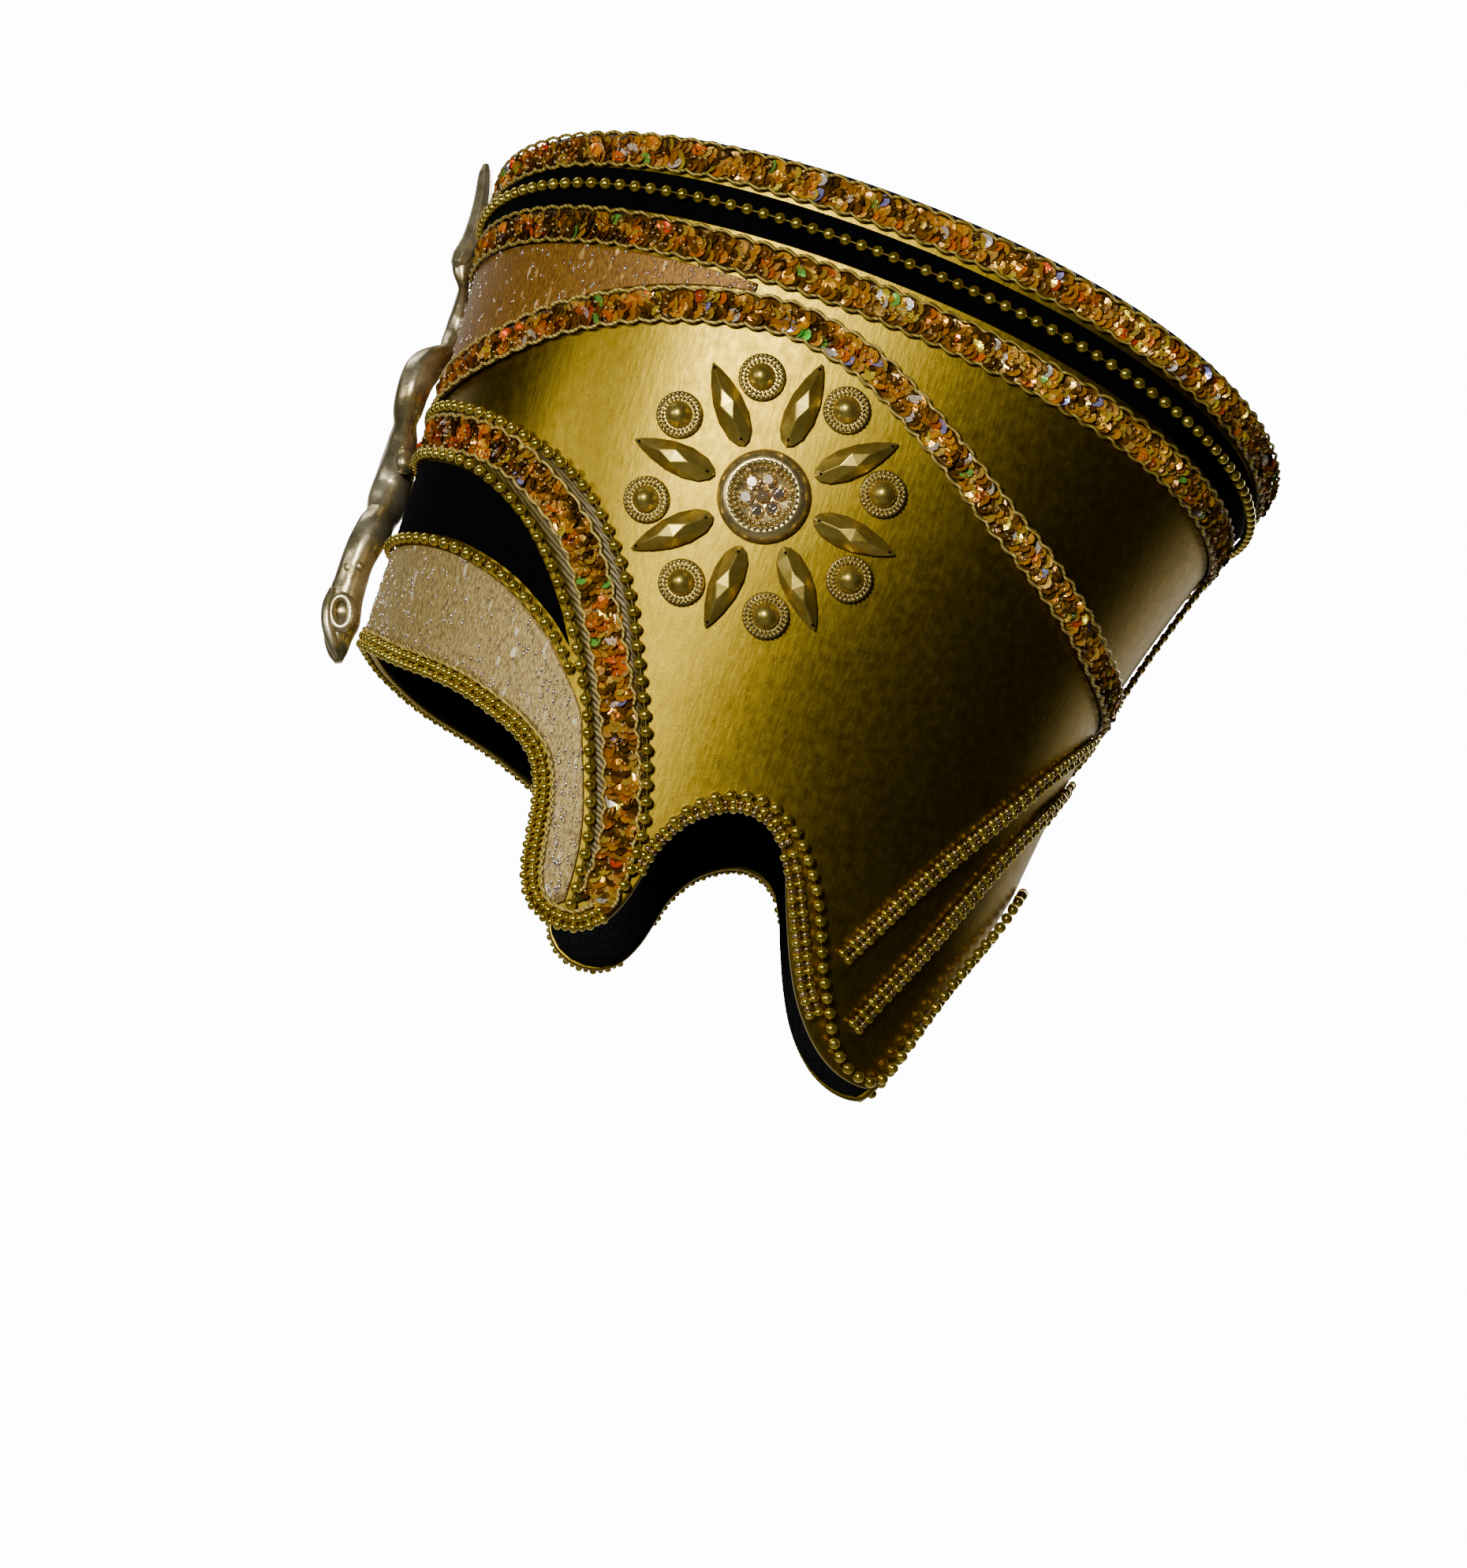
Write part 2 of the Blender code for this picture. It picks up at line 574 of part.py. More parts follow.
def add_rosettes():
    """Disc, eight petals and eight cabochons on each side of the crown."""
    petal = petal_mesh()
    middle = (PETAL_INNER_RADIUS + PETAL_OUTER_RADIUS) / 2
    for side, mirror in (("left", 1), ("right", -1)):
        frame = stone_frame(ROSETTE_CENTRE, mirror=mirror)
        turned(f"rosette_disc_{side}", "gold_stone", DISC_PROFILE, DISC_SIDES, frame)
        for k in range(PETALS):
            turn = 360 * k / PETALS
            place = on_wall_near(ROSETTE_CENTRE, PETAL_FIRST_ANGLE + turn, middle)
            tip = on_wall_near(ROSETTE_CENTRE, PETAL_FIRST_ANGLE + turn, PETAL_OUTER_RADIUS)
            towards = wall_position(mirror * tip[0], tip[1])
            stone = bpy.data.objects.new(f"rosette_petal_{side}_{k + 1}", petal)
            bpy.data.collections["costume_crown"].objects.link(stone)
            stone.matrix_world = stone_frame(place, towards, mirror)
            place = on_wall_near(ROSETTE_CENTRE, CABOCHON_FIRST_ANGLE + turn, CABOCHON_RING_RADIUS)
            turned(f"rosette_cabochon_{side}_{k + 1}", "gold_stone", CABOCHON_PROFILE,
                   CABOCHON_SIDES, stone_frame(place, mirror=mirror))


def add_serpent():
    """Cast serpent down the front: oval sections along its winding centre line."""
    mesh = bpy.data.meshes.new("serpent_ornament")
    bm = bmesh.new()
    centres = [Vector(row[:3]) for row in SERPENT]
    rings = []
    for i, (_, _, _, half_width, half_thickness) in enumerate(SERPENT):
        before, following = centres[max(i - 1, 0)], centres[min(i + 1, len(centres) - 1)]
        along = (following - before).normalized()
        front = (Vector((0, -1, 0)) - along * along.dot(Vector((0, -1, 0)))).normalized()
        across = front.cross(along)
        ring = []
        for k in range(SERPENT_SIDES):
            t = 2 * pi * k / SERPENT_SIDES
            offset = across * half_width * cos(t) + front * half_thickness * sin(t)
            ring.append(bm.verts.new(mm(centres[i] + offset)))
        rings.append(ring)
    for upper, lower in zip(rings, rings[1:]):
        for k in range(SERPENT_SIDES):
            following = (k + 1) % SERPENT_SIDES
            bm.faces.new((upper[k], upper[following], lower[following], lower[k]))
    bm.faces.new(rings[0])
    bm.faces.new(list(reversed(rings[-1])))
    bmesh.ops.recalc_face_normals(bm, faces=bm.faces)
    bm.to_mesh(mesh)
    bm.free()
    mesh.shade_smooth()
    add_object("serpent_ornament", mesh, "cast_gold")


def main():
    """Clear the scene and model the crown."""
    for item in list(bpy.data.objects):
        bpy.data.objects.remove(item, do_unlink=True)
    collection = bpy.data.collections.new("costume_crown")
    bpy.context.scene.collection.children.link(collection)
    add_wall()
    add_top()
    add_rim_trims()
    add_side_trim()
    add_brow()
    add_edge_rows()
    add_rosettes()
    add_serpent()


main()
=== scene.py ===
"""Looks of the costume crown headdress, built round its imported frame.

A place on the wall is an angle from the front and a height up the wall, in degrees and
millimetres, as in the part's source. Meshes are made in metres.
"""
from math import cos, pi, radians, sin

import bmesh
import bpy
import numpy as np
from mathutils import Matrix, Vector


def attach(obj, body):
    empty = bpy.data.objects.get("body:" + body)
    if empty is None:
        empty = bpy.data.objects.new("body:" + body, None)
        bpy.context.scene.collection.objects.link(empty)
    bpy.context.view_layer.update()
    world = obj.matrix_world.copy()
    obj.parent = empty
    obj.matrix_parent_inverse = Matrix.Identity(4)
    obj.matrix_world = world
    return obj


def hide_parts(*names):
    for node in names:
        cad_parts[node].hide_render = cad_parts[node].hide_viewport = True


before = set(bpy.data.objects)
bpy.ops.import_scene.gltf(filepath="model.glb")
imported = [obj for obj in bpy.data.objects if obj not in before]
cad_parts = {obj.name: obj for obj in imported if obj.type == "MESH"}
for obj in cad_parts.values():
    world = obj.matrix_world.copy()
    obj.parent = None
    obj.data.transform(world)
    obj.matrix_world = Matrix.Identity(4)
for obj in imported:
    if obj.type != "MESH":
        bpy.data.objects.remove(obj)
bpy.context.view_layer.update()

MM = 0.001
BODY = "root"

# Camera as the photo has it: from the wearer's left, a little below
CAMERA_PLACE = (1.0865, 0.0375, -0.2225)
CAMERA_UP_ANGLE = 9
CAMERA_LENS = 71.15
FLOOR_HEIGHT = -0.42

# Side view of the wall, drawn on the mid plane, one row for each level:
# height up the wall, front y, front z, back y, back z, half width, rise at the sides, squareness
WALL_LEVELS = [
    (0, -116.0, -70, 104.0, -164, 70, 0, 0.02),
    (75, -93.2, 0, 137.0, -89, 82, 0, 0.03),
    (155, -68.5, 81, 173.0, -21, 99, 5, 0.06),
    (245, -46.0, 164, 229.5, 55, 117, 15, 0.07),
]
RIM_HEIGHT = 245
SHELL_TOP = 244
WALL_THICKNESS = 2.5
LINING_THICKNESS = 1.0
LINING_DEPTH = 3.3
LINING_HEM_RISE = 1.0
LINING_TOP = 240
TOP_THICKNESS = 1.5
SEAT = 0.65

# Lower edge of the cap on one side: angle from the front, height up the wall
HEM = [
    (0, 73), (18, 69.5), (34, 65.5), (45, 63.8), (52, 62), (58, 59), (64, 55), (68, 50), (70, 44),
    (71.3, 36), (72.2, 26), (73.2, 16), (75, 8), (78, 3), (82, 1.5), (86, 3.5), (89, 9),
    (91, 18), (92, 28), (92.7, 36), (94.2, 43), (96, 48.5), (98.5, 53), (101, 56), (104.3, 57.5),
    (107.7, 56), (110.5, 52), (112.7, 46), (115.4, 35), (119, 22), (123, 11), (127.5, 3),
    (132.5, -2.5), (138, -5.3), (144, -5.6), (147.6, -3.5), (150.5, 5), (154, 20.5), (159, 37),
    (167, 54), (180, 73),
]

# Trims round the rim: lower and upper edge up the wall
RIM_TRIM = (233.6, 245)
BLACK_BAND = (219.9, 233.2)
LOWER_TRIM = (207.5, 219.5)
BAND_STRING_HEIGHT = 227
STRING_FRONT_END = 4.5
SIDE_TRIM = [
    (0, 160.5), (10, 161.2), (20, 163.3), (28, 167), (36, 172), (48, 182), (60, 190.5), (71, 196.5),
    (81, 199.8), (88, 198.5), (95, 195), (107, 184.5), (120, 173), (129, 167), (137, 162), (146, 157),
    (154, 153), (168, 149.5), (180, 148.5),
]
SIDE_TRIM_WIDTH = 11.5
FRONT_PANEL_END = 76
PANEL_THICKNESS = 0.7
PANEL_GAP = 0.6

# Brow: rows of the arches that start at the front centre and run down to the cheek flap
BROW_OUTER_BEADS = [
    (0, 152.3), (12, 152.1), (24, 151.2), (32, 149.4), (38, 147.6), (45, 144.8), (52, 141), (58, 137),
    (64, 130.5), (68, 123.5), (72, 115), (76, 104), (79, 92.5), (82.2, 80), (85, 68), (87.5, 55),
    (89.3, 43), (89.9, 32), (89.8, 22),
]
BROW_TRIM = [
    (0, 144.3), (9, 144), (29, 141.5), (39.5, 139.3), (48, 135.5), (54, 130.5), (60, 124),
    (64.5, 117), (68.3, 108), (72.2, 97), (75.7, 86), (79, 74), (82, 61), (84.6, 48), (86.3, 36),
    (86.9, 24.5), (86.6, 14),
]
BROW_INNER_BEADS = [
    (0, 137), (12, 136.5), (30, 133.8), (39, 131), (45, 127.5), (50, 123.5), (54.5, 118.5),
    (58.5, 112.5), (62.5, 105), (66, 97), (69.2, 88.5), (72, 79.5), (74.6, 70), (76.8, 60),
    (79, 49.5), (80.9, 39), (82.2, 28.5), (82.8, 18.5), (83, 10),
]
DIVIDER_BEADS = [
    (0, 107), (13, 107), (24, 107), (32, 106.8), (39, 106), (45, 104.3), (51, 101.7), (56, 98.3),
    (60, 94.5), (64, 90), (67.5, 84.5), (69.6, 80.2),
]
BROW_TRIM_WIDTH = 12.6
CRESCENT_END = 67
CHEEK_FLAP_TOP = 76
CHEEK_FLAP_EDGE = 80
DOUBLE_ROW_INSET = 2.8
DOUBLE_ROW_WIDTH = 4.8
EDGE_BEADS_END = 90
BACK_SEAM = [(180, 206.5), (180, 189), (180, 172), (180, 156)]
HEM_BEADS = [
    (93.6, 46.5), (95.3, 52.5), (98, 58), (101.5, 61.5), (105, 62.8), (109, 61), (113, 56), (116, 50),
    (119.3, 42), (122.3, 32), (125.5, 21), (129, 12), (133.2, 2.4), (138.2, -2.2), (143.7, -2.8),
    (146.5, -1.0), (149.1, 6.6), (152.6, 21.9), (157.7, 38.9), (166, 56.3), (180, 75.6),
]
EAR_ROWS = [(112.4, 50), (114.7, 44), (117.4, 35), (120.8, 24), (124, 14.5), (127, 8.8)]
NAPE_UPPER_ROW = [
    (128.5, 28.5), (132, 40), (138, 59), (145, 78), (152, 95), (158, 109), (167, 125), (180, 137.5),
]
NAPE_LOWER_ROW = [
    (136, 10.5), (140, 25), (145, 41), (150, 58), (156, 77), (162, 92), (169, 106), (180, 118),
]

# Rosette: its centre as angle and height, then lengths and angles from it
ROSETTE_CENTRE = (88.2, 148.3)
PETAL_INNER_RADIUS = 17.5
PETAL_OUTER_RADIUS = 47.5
PETAL_WIDTH = 10.6
PETAL_HEIGHT = 5.6
PETAL_FIRST_ANGLE = 89
CABOCHON_RING_RADIUS = 39
CABOCHON_FIRST_ANGLE = 114
PETALS = 8
STONE_SEAT = 0.5

# Serpent, from the tail spike at the top to the snout: x, y, z, half width, half thickness
SERPENT = [
    (0, -53.1, 178.6, 1.4, 1.3), (0, -53.2, 173, 2.4, 2.4), (0, -54.1, 165, 3.0, 3.0),
    (0.5, -55.7, 157, 3.2, 3.3), (1, -57.8, 149, 3.4, 3.3), (1, -60.3, 143, 4.0, 4.1),
    (1, -61.0, 139, 4.2, 3.9), (-1, -60.9, 133, 4.6, 2.3), (-5, -61.8, 128, 5.2, 2.9),
    (-8, -62.9, 122, 5.6, 4.1), (-8, -64.3, 115.5, 5.6, 4.3), (-4, -66.2, 109.5, 5.4, 3.9),
    (3, -69.5, 104.5, 5.8, 4.4), (7, -72.8, 100.5, 6.6, 5.6), (10, -75.6, 95.5, 7.2, 5.9),
    (10, -78.0, 89, 7.2, 5.7), (6, -80.1, 82.5, 7.0, 5.3), (0, -81.9, 75.5, 6.8, 5.3),
    (-6, -83.9, 68.5, 7.2, 6.5), (-9, -86.2, 61.5, 7.6, 6.9), (-8, -87.9, 54.5, 7.6, 7.0),
    (-4, -89.3, 48, 7.4, 6.4), (0, -91.6, 42, 7.2, 6.3), (1.5, -94.9, 35.5, 7.0, 6.1),
    (1.5, -97.5, 29.5, 6.6, 5.8), (0.5, -99.8, 22.5, 6.6, 5.9), (0, -101.8, 15.5, 7.2, 6.3),
    (0, -102.6, 9, 7.4, 6.3), (0, -103.9, 2.5, 6.2, 5.1), (0, -104.0, -3, 4.4, 3.5),
    (0, -103.6, -6.6, 1.6, 1.4),
]

SHELL_COLUMNS = 300
SHELL_ROWS = 48
LINING_COLUMNS = 160
LINING_ROWS = 24
RIM_SPREAD = 0.55
DEGREE_LENGTH = 1.8
NEARBY = 0.1
PATH_SAMPLES = 1500
SEARCH_STEPS = 6


# Places and directions on the wall

def unit(vectors):
    """Vectors brought to length one."""
    return vectors / np.linalg.norm(vectors, axis=-1, keepdims=True)


def smooth(rows, t):
    """Rows at t, on a smooth curve through rows whose first column is the parameter."""
    rows = np.asarray(rows, float)
    t = np.atleast_1d(np.asarray(t, float))
    knots = rows[:, 0]
    last = len(rows) - 1
    low = np.maximum(np.arange(last + 1) - 1, 0)
    high = np.minimum(np.arange(last + 1) + 1, last)
    slopes = (rows[high] - rows[low]) / (knots[high] - knots[low])[:, None]
    i = np.clip(np.searchsorted(knots, t) - 1, 0, last - 1)
    step = (knots[i + 1] - knots[i])[:, None]
    u = (t - knots[i])[:, None] / step
    return ((2 * u**3 - 3 * u**2 + 1) * rows[i] + (u**3 - 2 * u**2 + u) * step * slopes[i]
            + (3 * u**2 - 2 * u**3) * rows[i + 1] + (u**3 - u**2) * step * slopes[i + 1])


def wall_position(places):
    """Points of the wall's outer face in millimetres, from rows of angle and height."""
    places = np.asarray(places, float).reshape(-1, 2)
    a = np.radians(places[:, 0])
    columns = smooth(WALL_LEVELS, places[:, 1]).T
    _, front_y, front_z, back_y, back_z, half_width, rise, square = columns
    half_y, half_z = (back_y - front_y) / 2, (back_z - front_z) / 2
    half_length = np.hypot(half_y, half_z)
    lift = rise * np.sin(a) ** 2
    x = half_width * (np.sin(a) + square * np.sin(3 * a)) / (1 - square)
    y = (front_y + back_y) / 2 - half_y * np.cos(a) - half_z / half_length * lift
    z = (front_z + back_z) / 2 - half_z * np.cos(a) + half_y / half_length * lift
    return np.stack([x, y, z], axis=1)


def wall_frames(places):
    """Points of the wall, its outward normals and the directions up it."""
    places = np.asarray(places, float).reshape(-1, 2)
    turn, climb = np.array([NEARBY, 0]), np.array([0, NEARBY])
    along = wall_position(places + turn) - wall_position(places - turn)
    up = wall_position(places + climb) - wall_position(places - climb)
    return wall_position(places), unit(np.cross(along, up)), unit(up)


def across_front(half):
    """Path from one side to the other through the front, from the rows of one side."""
    return [(-angle, height) for angle, height in reversed(half) if angle > 0] + list(half)


def across_back(half):
    """Path from one side to the other through the back, from the rows of one side."""
    return list(half) + [(360 - angle, height) for angle, height in reversed(half) if angle < 180]


def ring(height):
    """Path round the whole cap at one height up the wall."""
    return [(angle, height) for angle in range(0, 361, 30)]


def mirrored(rows):
    """The same path on the other side."""
    return [(-angle, height) for angle, height in reversed(rows)]


def stations(rows, closed=False, count=None, pitch=None):
    """Places evenly spaced along a smooth path on the wall, by their number or their spacing."""
    if closed:
        turn = 360 if rows[-1][0] > rows[0][0] else -360
        before = [(a - turn, w) for a, w in rows[-3:-1]]
        after = [(a + turn, w) for a, w in rows[1:3]]
        rows = before + list(rows) + after
    rows = np.asarray(rows, float)
    steps = np.diff(rows, axis=0)
    runs = np.concatenate([[0], np.cumsum(np.hypot(steps[:, 0] * DEGREE_LENGTH, steps[:, 1]))])
    first, last = (2, len(rows) - 3) if closed else (0, len(rows) - 1)
    samples = np.linspace(runs[first], runs[last], PATH_SAMPLES)
    fine = smooth(np.column_stack([runs, rows]), samples)[:, 1:]
    lengths = np.linalg.norm(np.diff(wall_position(fine), axis=0), axis=1)
    run = np.concatenate([[0], np.cumsum(lengths)])
    if count is None:
        count = int(round(run[-1] / pitch)) + (not closed)
    targets = np.linspace(0, run[-1], count, endpoint=not closed)
    return np.column_stack([np.interp(targets, run, fine[:, k]) for k in (0, 1)])


def path_frames(rows, pitch, closed=False):
    """Points along a path with the directions along it, up across it and out from the wall."""
    places = stations(rows, closed, pitch=pitch)
    points, out, _ = wall_frames(places)
    round_trip = np.roll(points, -1, axis=0) - np.roll(points, 1, axis=0)
    ahead = round_trip if closed else np.gradient(points, axis=0)
    along = unit(ahead - out * np.sum(ahead * out, axis=1, keepdims=True))
    return points, along, np.cross(out, along), out


def inset(rows, distance):
    """Path moved up the wall by a distance, at right angles to it."""
    moved = []
    for i, (angle, height) in enumerate(rows):
        before, following = rows[max(i - 1, 0)], rows[min(i + 1, len(rows) - 1)]
        run = (following[0] - before[0]) * DEGREE_LENGTH
        climb = following[1] - before[1]
        length = np.hypot(run, climb)
        moved.append((angle - distance * climb / length / DEGREE_LENGTH, height + distance * run / length))
    return moved


# Meshes

def net_faces(rows, columns, around=False, closed=False):
    """Faces of a net of points whose rows may run around, and whose last row may join the first."""
    faces = []
    for i in range(rows if closed else rows - 1):
        here, there = i * columns, (i + 1) % rows * columns
        for k in range(columns if around else columns - 1):
            following = (k + 1) % columns
            faces.append((here + k, there + k, there + following, here + following))
    return faces


def tube_faces(count, sides, closed=False):
    """Faces of a tube of rings, with its two ends unless it is closed."""
    ends = [] if closed else [tuple(range(sides)), tuple(range((count - 1) * sides, count * sides))]
    return net_faces(count, sides, True, closed) + ends


class Shapes:
    """Points and faces of many small closed shapes, which become one mesh."""

    def __init__(self):
        self.points, self.faces, self.tints, self.count = [], [], [], 0

    def scatter(self, shape, origins, axes, tints=0.5):
        """Copies of one shape: axes holds three scaled directions for each origin."""
        points, faces = np.asarray(shape[0], float).reshape(-1, 3), shape[1]
        placed = np.einsum("nk,mkj->mnj", points, axes) + np.asarray(origins)[:, None, :]
        starts = self.count + np.arange(len(placed)) * len(points)
        for width in {len(face) for face in faces}:
            same = np.array([face for face in faces if len(face) == width])
            self.faces += (same[None] + starts[:, None, None]).reshape(-1, width).tolist()
        self.points.append(placed.reshape(-1, 3))
        self.tints.append(np.repeat(np.broadcast_to(tints, len(placed)), len(points)))
        self.count += len(placed) * len(points)

    def add(self, points, faces):
        """One shape where it stands, its points in millimetres."""
        self.scatter((points, faces), [(0, 0, 0)], np.eye(3)[None])

    def tube(self, centres, side, out, radius, sides=6, closed=False):
        """Round tube along centres, with its two directions across at each of them."""
        turns = np.linspace(0, 2 * pi, sides, endpoint=False)[None, :, None]
        spokes = np.cos(turns) * side[:, None, :] + np.sin(turns) * out[:, None, :]
        self.add(centres[:, None, :] + spokes * radius, tube_faces(len(centres), sides, closed))

    def piece(self, name, look, node, flat=False, slot=None):
        """The mesh object of all that was added, with each shape's tint as an attribute."""
        mesh = bpy.data.meshes.new(name)
        mesh.from_pydata(np.concatenate(self.points) * MM, [], self.faces)
        attribute = mesh.attributes.new("tint", "FLOAT", "POINT")
        attribute.data.foreach_set("value", np.concatenate(self.tints).astype(np.float32))
        return finish_piece(name, mesh, look, node, flat)


def finish_piece(name, mesh, look, node, flat=False):
    """Object of a mesh with outward faces; it rides on the crown and stands for a node."""
    bm = bmesh.new()
    bm.from_mesh(mesh)
    bmesh.ops.recalc_face_normals(bm, faces=bm.faces)
    bm.to_mesh(mesh)
    bm.free()
    if flat:
        mesh.shade_flat()
    else:
        mesh.shade_smooth()
    item = bpy.data.objects.new(name, mesh)
    bpy.context.scene.collection.objects.link(item)
    material, usual_slot = LOOKS[look]
    mesh.materials.append(material)
    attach(item, BODY)
    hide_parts(node)
    return item


def turned(profile, sides):
    """Shape turned about its third axis from rows of radius and height."""
    points, faces, starts = [], [], []
    for radius, height in profile:
        count = 1 if radius == 0 else sides
        starts.append((len(points), count))
        points += [(radius * cos(2 * pi * k / count), radius * sin(2 * pi * k / count), height)
                   for k in range(count)]
    for (upper, upper_count), (lower, lower_count) in zip(starts, starts[1:]):
        for k in range(sides):
            corners = (upper + k % upper_count, lower + k % lower_count,
                       lower + (k + 1) % lower_count, upper + (k + 1) % upper_count)
            faces.append(tuple(dict.fromkeys(corners)))
    return points, faces


def ball(segments=12, rings=8):
    """Round bead of radius one with its thread along the first axis."""
    bends = [pi * i / rings for i in range(1, rings)]
    points, faces = turned([(0, -1), *((sin(a), -cos(a)) for a in bends), (0, 1)], segments)
    return [(height, x, y) for x, y, height in points], faces


def sequin(sides=9, dish=0.16, thickness=0.09):
    """Cup sequin of radius one: its rim in the plane and its middle pressed in."""
    points = [(cos(2 * pi * k / sides), sin(2 * pi * k / sides), 0) for k in range(sides)]
    points += [(0, 0, -dish), (0, 0, -dish - thickness)]
    faces = [(k, (k + 1) % sides, sides) for k in range(sides)]
    faces += [((k + 1) % sides, k, sides + 1) for k in range(sides)]
    return points, faces


def hull(corners, merged=False):
    """Convex shape round corners, with its coplanar faces merged if asked."""
    bm = bmesh.new()
    for corner in corners:
        bm.verts.new(corner)
    bmesh.ops.convex_hull(bm, input=bm.verts)
    if merged:
        bmesh.ops.delete(bm, geom=[v for v in bm.verts if not v.link_faces], context="VERTS")
        bmesh.ops.dissolve_limit(bm, angle_limit=radians(1), verts=bm.verts, edges=bm.edges)
    bm.verts.index_update()
    points = [tuple(v.co) for v in bm.verts]
    faces = [tuple(v.index for v in face.verts) for face in bm.faces]
    bm.free()
    return points, faces


def axes_of(along, side, out, lengths):
    """Scaled directions for scatter."""
    lengths = np.broadcast_to(np.asarray(lengths, float), (len(along), 3))
    return np.stack([along * lengths[:, :1], side * lengths[:, 1:2], out * lengths[:, 2:3]], axis=1)


def soften(item, width, angle=None):
    """Rounds the edges of a piece, those sharper than an angle where one is given."""
    bevel = item.modifiers.new("worn_edges", "BEVEL")
    bevel.width = width * MM
    bevel.segments = 2
    if angle:
        bevel.limit_method = "ANGLE"
        bevel.angle_limit = radians(angle)


def add_sheet(name, grid, thickness, look, node, outward=True, closed=False):
    """Sheet of a given thickness on a grid of points, whose rows run along and columns up."""
    mesh = bpy.data.meshes.new(name)
    mesh.from_pydata(grid.reshape(-1, 3) * MM, [], net_faces(*grid.shape[:2], closed=closed))
    item = finish_piece(name, mesh, look, node)
    solidify = item.modifiers.new("thickness", "SOLIDIFY")
    solidify.thickness = thickness * MM
    solidify.offset = 1 if outward else -1
    return item


def add_cloth(name, grid, thickness, look, node, outward=True, closed=False):
    """Cloth laid on the shell; the length, width and area that its grid has when it is unrolled are worked
    out but not used.
    """
    item = add_sheet(name, grid, thickness, look, node, outward, closed)
    grid = np.concatenate([grid, grid[:1]]) * MM if closed else grid * MM
    along, across = np.diff(grid, axis=0), np.diff(grid, axis=1)
    length = np.linalg.norm(along, axis=2).sum(axis=0).max()
    width = np.linalg.norm(across, axis=2).sum(axis=1).max()
    area = np.linalg.norm(np.cross(along[:, :-1], across[:-1]), axis=2).sum()
    area = min(area, width * length)


# Materials

LOOKS = {}
WALL_LEAN = -17


class Look:
    """Material built from nodes; each method adds nodes and returns the socket to use."""

    def __init__(self, name, slot=None):
        self.material = bpy.data.materials.new(name)
        self.material.use_nodes = True
        self.tree = self.material.node_tree
        self.shader = self.tree.nodes["Principled BSDF"]
        LOOKS[name] = self.material, slot

    def link(self, source, target):
        """Source socket joined to a target, or a plain value set on it."""
        if isinstance(source, bpy.types.NodeSocket):
            self.tree.links.new(source, target)
        else:
            target.default_value = (*source, 1) if target.type == "RGBA" else source

    def node(self, kind, output, inputs=None, **settings):
        """One output of a new node with its settings and inputs."""
        made = self.tree.nodes.new(kind)
        for key, value in settings.items():
            setattr(made, key, value)
        for key, value in (inputs or {}).items():
            self.link(value, made.inputs[key])
        return made.outputs[output]

    def place(self, stretch=(1, 1, 1), lean=0):
        """Object coordinates, stretched, after leaning the axes back in the side view."""
        leaning = {"Vector": self.node("ShaderNodeTexCoord", "Object"), "Rotation": (radians(lean), 0, 0)}
        leaned = self.node("ShaderNodeMapping", "Vector", leaning, vector_type="TEXTURE")
        return self.node("ShaderNodeMapping", "Vector", {"Vector": leaned, "Scale": stretch})

    def noise(self, scale, detail=2.0, place=None):
        """Noise value over the surface."""
        return self.node("ShaderNodeTexNoise", "Fac",
                         {"Scale": scale, "Detail": detail, "Vector": place or self.place()})

    def cells(self, scale, place=None):
        """Random colour of each small cell."""
        return self.node("ShaderNodeTexVoronoi", "Color", {"Scale": scale, "Vector": place or self.place()})

    def tint(self):
        """The random value that each small shape carries."""
        return self.node("ShaderNodeAttribute", "Fac", attribute_name="tint")

    def ramp(self, value, stops, constant=False):
        """Colour ramp from rows of place and colour or grey."""
        made = self.tree.nodes.new("ShaderNodeValToRGB")
        made.color_ramp.interpolation = "CONSTANT" if constant else "LINEAR"
        elements = made.color_ramp.elements
        while len(elements) < len(stops):
            elements.new(0.5)
        for element, (place, colour) in zip(elements, stops):
            element.position = place
            element.color = (*colour, 1) if isinstance(colour, tuple) else (colour, colour, colour, 1)
        self.link(value, made.inputs["Fac"])
        return made.outputs["Color"]

    def vary(self, scale, detail, stops):
        """Grey value that varies with a noise."""
        return self.ramp(self.noise(scale, detail), stops)

    def mix(self, share, first, second):
        """Two colours mixed by a share."""
        return self.node("ShaderNodeMix", 2, {"Factor": share, 6: first, 7: second}, data_type="RGBA")

    def blend(self, value, low, high, first, second, most=1.0):
        """Second colour over the first where a value passes from low to high."""
        return self.mix(self.ramp(value, [(low, 0.0), (high, most)]), first, second)

    def times(self, first, second):
        """Product of two values."""
        return self.node("ShaderNodeMath", "Value", {0: first, 1: second}, operation="MULTIPLY")

    def bump(self, height, strength, distance, below=None):
        """Normal with a bump, added to another bump below it."""
        inputs = {"Strength": strength, "Distance": distance * MM, "Height": height}
        if below is not None:
            inputs["Normal"] = below
        return self.node("ShaderNodeBump", "Normal", inputs)

    def set(self, **inputs):
        """Sets the shader's inputs, written as words joined by underscores."""
        for key, value in inputs.items():
            self.link(value, self.shader.inputs[key.replace("_", " ").title().replace("Ior", "IOR")])
        return self.material


